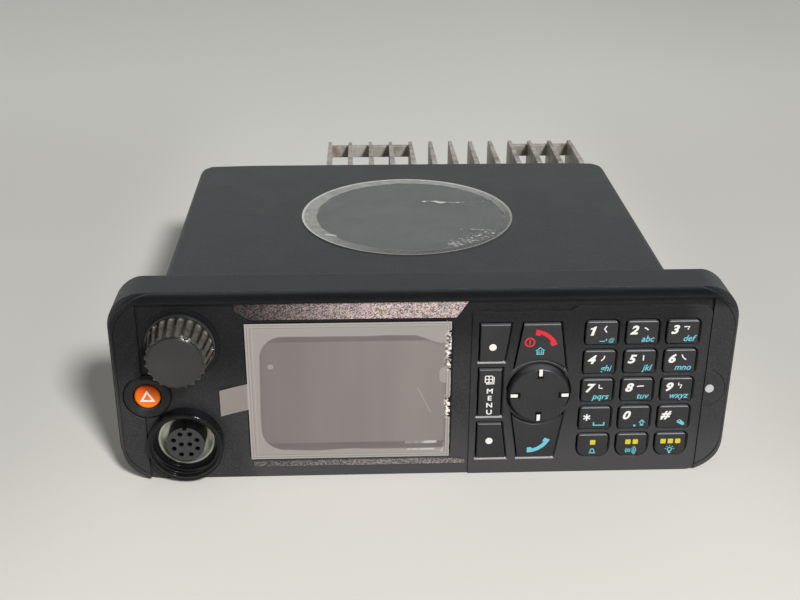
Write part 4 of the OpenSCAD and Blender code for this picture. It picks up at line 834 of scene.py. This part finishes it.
ONE = [(0.05, 1.5), (0.6, 1.5), (0.6, -1.5), (-0.25, -1.5), (-0.25, 0.5), (-1.0, 0.5), (-1.0, 0.95),
       (-0.4, 1.05)]
STAR = [point for turn in range(30, 390, 60)
        for point in (*bow(0, 0, 1.2, turn - 11, turn + 11, 1), on_circle(0, 0, 0.42, turn + 30))]
SPACE_BAR = [(-1.6, 0.6), (-1.6, -0.45), (1.6, -0.45), (1.6, 0.6)]
UP_ARROW = [(0, 1.15), (1.05, 0.05), (0.5, 0.05), (0.5, -1.05), (-0.5, -1.05), (-0.5, 0.05), (-1.05, 0.05)]
TAG = [(-1.2, 0.55), (-0.35, 1.05), (1.15, -0.25), (1.2, -1.0), (0.45, -1.05), (-1.15, -0.1)]
BELL = [(-1.15, -0.85), (-0.75, -0.45), *bow(0, 0.2, 0.7, 170, 10, 8), (0.75, -0.45), (1.15, -0.85)]
HOUSE = [(-1.5, 0.15), (0, 1.35), (1.5, 0.15), (1.1, 0.15), (1.1, -1.15), (-1.1, -1.15), (-1.1, 0.15)]
TRIANGLE = [(-2.3, -1.3), (2.3, -1.3), (0, 2.5)]


def big_mark(mark, x, z):
    """The white digit or sign of a keypad key."""
    if mark == "1":
        return sign([[(across + ITALIC * up, up) for across, up in ONE]], x, z)
    if mark == "*":
        return sign([STAR], x + 0.2, z - 0.4)
    return letters(mark, x, z, DIGIT_H, ITALIC, 0.15, 1.12)


def small_mark(key, small, at):
    """The blue letters or sign of a keypad key."""
    x, z = at.x + LETTERS_AT[0], at.z + LETTERS_AT[1]
    if small:
        return letters(small, at.x + LETTERS_END, z - 0.1, LETTER_H, ITALIC, 0.04, align="RIGHT")
    if key == "key_1":
        low_line = pen_stroke([(-1.9, -0.65), (-0.3, -0.65)], 0.28)
        tick = pen_stroke([(0.2, 0.2), (0.05, -0.5)], 0.3)
        return joined([sign([low_line, tick], x, z), letters("@", x + 1.5, z - 0.3, 1.25, ITALIC)])
    if key == "key_star":
        return sign([pen_stroke(SPACE_BAR, 0.5)], x, z)
    if key == "key_0":
        stop = rounded_square(-1.0, -0.8, 0.7, 0.2)
        return joined([sign([stop], x, z), sign([UP_ARROW, shrunk(UP_ARROW, 0.5)], x + 1.2, z + 0.2)])
    return sign([TAG, circle(-0.45, 0.45, 0.25)], x + 1.1, z + 0.2)


def keypad_printing():
    for key, (mark, small, stroke) in KEYPAD_MARKS.items():
        at = middle_mm(key)
        white = [big_mark(mark, at.x + DIGIT_AT[0], at.z + DIGIT_AT[1])]
        if stroke:
            white.append(sign([pen_stroke(stroke, STROKE_W)], at.x + STROKES_AT[0], at.z + STROKES_AT[1]))
        blue = small_mark(key, small, at)
        print_on(key, joined(white), "white_print", white_ink)
        print_on(key, blue, "blue_print", blue_ink)


def function_printing():
    alarm = [BELL, shrunk(BELL, 0.6)]
    speaker = [*hoop(-0.7, 0, 0.3, 0.6), curved_bar(-0.7, 0, 1.0, 0.26, 130, 230),
               *[curved_bar(-0.5, 0, r, 0.25, -48, 48) for r in (1.0, 1.5, 2.0)]]
    rays = [pen_stroke([on_circle(0, 0.1, 1.05, turn), on_circle(0, 0.1, 1.5, turn)], 0.25)
            for turn in (10, 50, 90, 130, 170)]
    bulb = [*hoop(0, 0.1, 0.5, 0.8), rounded_square(0, -1.0, 0.7, 0.15), *rays]
    side, pitch, corner = 1.65, 2.3, 0.25
    for count, (key, icon) in enumerate(zip(FUNCTION_KEYS, (alarm, speaker, bulb)), start=1):
        at = middle_mm(key)
        squares = [rounded_square((i - (count - 1) / 2) * pitch, 0, side, corner) for i in range(count)]
        print_on(key, sign(squares, at.x, at.z + 1.1), "yellow_print", yellow_ink)
        print_on(key, sign(icon, at.x, at.z - 2.0), "blue_print", blue_ink)


def dot(x, z, r):
    """A printed dot: a disc with a thickness and a soft edge."""
    bpy.ops.object.select_all(action="DESELECT")
    bpy.ops.mesh.primitive_circle_add(vertices=40, radius=r * MM, fill_type="NGON",
                                      rotation=(math.radians(90), 0, 0),
                                      location=(x * MM, (FRONT_Y + INK_T) * MM, z * MM))
    piece = bpy.context.object
    settle(piece)
    only(piece)
    bpy.ops.object.mode_set(mode="EDIT")
    bpy.ops.mesh.select_all(action="SELECT")
    bpy.ops.mesh.extrude_region_move(TRANSFORM_OT_translate={"value": (0, -2 * INK_T * MM, 0)})
    bpy.ops.mesh.inset(thickness=INK_T * MM)
    bpy.ops.object.mode_set(mode="OBJECT")
    merge(piece)
    return piece


def soft_and_menu_printing():
    dot_shift, dot_r = 0.3, 1.1
    for key, rise in (("soft_key_upper", 15.6), ("soft_key_lower", -16.9)):
        print_on(key, dot(MENU.x + dot_shift, MENU.z + rise, dot_r), "dot", white_ink)
    page_at = (MENU.x - 0.3, MENU.z + 4.6)
    page = rounded_square(-0.2, 0.2, 2.5, 0.4)
    panes = [rounded_square(x, z, 0.8, 0.15) for x in (-0.75, 0.35) for z in (-0.35, 0.75)]
    page_below = pen_stroke([(-1.0, -1.35), (1.35, -1.35), (1.35, 1.0)], 0.35)
    marks = [sign([page, *panes], *page_at), sign([page_below], *page_at)]
    letter_h, first_rise, pitch = 1.6, 0.65, 2.45
    for row, letter in enumerate("MENU"):
        rise = first_rise - pitch * row
        marks.append(letters(letter, MENU.x - 0.1, MENU.z + rise, letter_h, 0, 0.06, 1.2))
    print_on("menu_key", joined(marks), "print", white_ink)


def call_printing():
    lying = handset(7.3, 22, 84)
    ringed_bar = [*hoop(0, 0, 1.1, 1.6), pen_stroke([(0, 0.75), (0, -0.75)], 0.45)]
    red = [sign([lying], NAV.x - 2.6, NAV.z + 13.4), sign(ringed_bar, NAV.x - 3.5, NAV.z + 17.1)]
    print_on("end_key", joined(red), "red_print", red_ink)
    panes = [rounded_square(x, z, 0.4, 0.08) for x in (-0.35, 0.35) for z in (-0.5, 0.1)]
    house = [HOUSE, shrunk(HOUSE, 0.72), *panes]
    print_on("end_key", sign(house, NAV.x - 0.3, NAV.z + 14.1), "blue_print", blue_ink)
    lifted = handset(7.0, -90, -24)
    print_on("send_key", sign([lifted], NAV.x - 2.6, NAV.z - 13.7), "blue_print", blue_ink)


def emergency_printing():
    middle = (EMERGENCY_LOW + EMERGENCY_HIGH) / 2
    triangle = sign([TRIANGLE, shrunk(TRIANGLE, 0.56)], middle.x, middle.z - 0.2, EMERGENCY_LOW.y)
    fit(triangle, "emergency_triangle", "emergency_body", white_ink)


def block(size, x, y, z):
    """A plain block of the given size about a place, as a start for a piece."""
    bpy.ops.object.select_all(action="DESELECT")
    bpy.ops.mesh.primitive_cube_add(size=MM, scale=size, location=(x * MM, y * MM, z * MM))
    piece = bpy.context.object
    settle(piece)
    return piece


def nav_marks():
    """Four white pegs let into black wells near the disc's rim; the wells are painted shade of the recesses.
    """
    depth, edge = 0.8, 0.15
    pegs, wells = [], []
    for turn in (0, 90, 180, 270):
        for made, out, wide, long, proud in ((pegs, 7.7, 1.15, 2.2, 0.12), (wells, 7.2, 1.9, 2.9, 0.04)):
            along, side = math.cos(math.radians(turn)), math.sin(math.radians(turn))
            size = (wide + abs(along) * (long - wide), depth, wide + abs(side) * (long - wide))
            piece = block(size, NAV.x + out * along, NAV_LOW.y + depth / 2 - proud, NAV.z + out * side)
            bpy.ops.object.mode_set(mode="EDIT")
            bpy.ops.mesh.select_all(action="SELECT")
            bpy.ops.mesh.bevel(offset=edge * MM, segments=2)
            bpy.ops.object.mode_set(mode="OBJECT")
            made.append(piece)
    fit(joined(pegs), "nav_pegs", "nav", white_ink)
    # The black wells are painted shade of the recesses around the pegs.
    fit(joined(wells), "nav_painted_well_shade", "nav", painted_well_shade)


# Rear socket

def accessory_pins():
    """Two rows of square contact pins with tapered tips, standing on the floor of the accessory socket."""
    columns, pitch, rise, thick, length, tip = 13, 2.54, 1.9, 0.8, 5.0, 0.5
    floor_in, sunk = 7.0, 0.4
    socket, back_y = middle_mm("accessory_socket"), box_mm("accessory_socket")[1].y
    y = back_y - floor_in + length / 2 - sunk
    pins = []
    for column in range(columns):
        for side in (-1, 1):
            x = socket.x + (column - (columns - 1) / 2) * pitch
            pin = block((thick, length, thick), x, y, socket.z + side * rise)
            pick(pin, lambda place: place.y > y)
            bpy.ops.mesh.select_mode(type="FACE")
            bpy.ops.mesh.extrude_region_move(TRANSFORM_OT_translate={"value": (0, tip * MM, 0)})
            bpy.ops.transform.resize(value=(0.5, 1, 0.5))
            bpy.ops.object.mode_set(mode="OBJECT")
            merge(pin)
            pins.append(pin)
    fit(joined(pins), "accessory_socket_pins", "radio", plated_steel)


# Films

def film_on_display():
    """The peeling film: a sheet with a nicked right edge and a pull tab that bends away at its left."""
    inset, thickness = 0.25, 0.09
    tab_len, tab_low, tab_top, tab_sag, tab_lift, tab_steps = 8.4, 23.8, 33.0, 1.8, 0.7, 8
    low, high = WINDOW_LOW, WINDOW_HIGH
    width, height = high.x - low.x - 2 * inset, high.z - low.z - 2 * inset
    y = box_mm("display_film")[1].y - 0.02
    bpy.ops.object.select_all(action="DESELECT")
    bpy.ops.mesh.primitive_grid_add(x_subdivisions=40, y_subdivisions=100, size=width * MM,
                                    rotation=(math.radians(90), 0, 0),
                                    location=(WINDOW.x * MM, y * MM, WINDOW.z * MM))
    sheet = bpy.context.object
    sheet.scale.y = height / width
    settle(sheet)
    pick(sheet, lambda place: place.x < low.x + inset + 0.01 and tab_low < place.z < tab_top)
    for step in range(tab_steps):
        out = tab_lift * ((step + 1) ** 2 - step ** 2) / tab_steps ** 2
        bpy.ops.mesh.extrude_region_move(TRANSFORM_OT_translate={
            "value": (-tab_len / tab_steps * MM, -out * MM, -tab_sag / tab_steps * MM)})
    bpy.ops.object.mode_set(mode="OBJECT")
    deep_nick, plain_nick, nick_share = 1.3, 0.12, 0.4
    nicks = random.Random(4)
    for vertex in sheet.data.vertices:
        at = vertex.co / MM
        if at.x > high.x - inset - 0.01:
            torn = any(first < at.z - low.z < last for first, last in FILM_TEARS)
            deep = deep_nick if torn and nicks.random() < nick_share else plain_nick
            vertex.co.x -= nicks.random() * deep * MM
    finished_sheet(sheet, thickness, 30)
    fit(sheet, "peeling_display_film", "radio", screen_film)
    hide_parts("display_film")


def film_on_badge():
    """The round film on the cover: raised at its rim and puckered along its creases."""
    rings, around, thickness = 40, 160, 0.05
    rim_rise, rim_w, crease_rise, crease_w = 0.25, 3, 0.3, 0.8
    bpy.ops.object.select_all(action="DESELECT")
    bpy.ops.mesh.primitive_circle_add(vertices=around, radius=BADGE_FILM_R * MM, fill_type="NGON", location=(
        BADGE_FILM.x * MM, BADGE_FILM.y * MM, (BADGE_FILM_LOW.z + 0.05) * MM))
    sheet = bpy.context.object
    settle(sheet)
    bpy.ops.object.mode_set(mode="EDIT")
    bpy.ops.mesh.select_all(action="SELECT")
    for ring in range(rings - 1):
        bpy.ops.mesh.inset(thickness=BADGE_FILM_R / rings * MM)
    bpy.ops.object.mode_set(mode="OBJECT")
    for vertex in sheet.data.vertices:
        at = vertex.co / MM
        out = math.hypot(at.x - BADGE_FILM.x, at.y - BADGE_FILM.y)
        rise = rim_rise * max(0, out - BADGE_FILM_R + rim_w) / rim_w
        for start, end, width in BADGE_CREASES:
            start, end, spot = Vector(start), Vector(end), Vector((at.x, at.y))
            along = max(0, min(1, (spot - start).dot(end - start) / (end - start).length_squared))
            near = (spot - start - along * (end - start)).length
            rise += crease_rise * math.exp(-(near / crease_w) ** 2)
        vertex.co.z += rise * MM
    finished_sheet(sheet, thickness, 40)
    fit(sheet, "creased_badge_film", "radio", plate_film)
    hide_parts("badge_film")


keypad_printing()
function_printing()
soft_and_menu_printing()
call_printing()
emergency_printing()
nav_marks()
accessory_pins()
film_on_display()
film_on_badge()


# Floor, light and camera

FLOOR_M = 8
bpy.ops.object.select_all(action="DESELECT")
bpy.ops.mesh.primitive_plane_add(size=FLOOR_M, location=(0, 0, 0))
floor = bpy.context.object
floor.name = "floor"
paper = Finish("pale_paper", (0.72, 0.7, 0.655), 0.8)
paper_painted_shade = (0.5, 0.49, 0.46)
# Paler towards the front as a painted fall-off of the light, and painted shade towards the right.
paper_tone = paper.mix(paper.span(paper.y, -250, 350), (0.78, 0.75, 0.69), (0.7, 0.695, 0.65))
paper_tone = paper.mix(paper.span(paper.x, 100, 350, 0, 0.35), paper_tone, paper_painted_shade)
# Painted shadow on the floor beside the radio.
beside = paper.times(paper.span(paper.off(paper.x, 0.0), 70, 150, 0, 0.6),
                     paper.span(paper.y, -220, -60), paper.span(paper.y, 420, 120))
paper.colour(paper.mix(beside, paper_tone, paper_painted_shade))
paper.relief(paper.noise(3, 3), 0.02)
floor.data.materials.append(paper.material)

world = bpy.data.worlds.new("studio")
bpy.context.scene.world = world
world.use_nodes = True
sky = Nodes(world.node_tree)
direction = sky.node("ShaderNodeSeparateXYZ")
sky.put(sky.node("ShaderNodeTexCoord").outputs["Generated"], direction.inputs[0])
behind = sky.span(direction.outputs["Y"], 0.2, 1.0, curve="LINEAR")
overhead = sky.span(direction.outputs["Z"], 0.4, 0.8, curve="LINEAR")
horizon = sky.mix(behind, (0.48, 0.485, 0.48), (0.74, 0.75, 0.75))
background = sky.tree.nodes["Background"]
sky.put(sky.mix(overhead, horizon, (0.12, 0.122, 0.125)), background.inputs["Color"])
background.inputs["Strength"].default_value = 1.0

LAMP_M = Vector((0.75, -1.75, 1.55))
bpy.ops.object.light_add(type="AREA", location=LAMP_M)
lamp = bpy.context.object
lamp.name = "front_lamp"
lamp.data.shape = "DISK"
lamp.data.size = 0.4
lamp.data.energy = 62
lamp.rotation_euler = (-LAMP_M).to_track_quat("-Z", "Y").to_euler()

PHOTO_WIDTH = 800
FOCAL_PIXELS = 1166.08
# From the radio's middle, its key faces and the floor
CAMERA_ASIDE, CAMERA_BACK, CAMERA_UP = -21.11, 306.215, 204.264
CAMERA_TURNS = (64.87506, -0.24838, -2.33171)
bpy.ops.object.camera_add(location=(CAMERA_ASIDE * MM, (FRONT_Y - CAMERA_BACK) * MM, CAMERA_UP * MM),
                          rotation=[math.radians(turn) for turn in CAMERA_TURNS])
camera = bpy.context.object
camera.data.sensor_width = 36
camera.data.lens = FOCAL_PIXELS * camera.data.sensor_width / PHOTO_WIDTH
camera.data.clip_start = 0.01
bpy.context.scene.camera = camera
bpy.context.scene.view_settings.view_transform = "Standard"
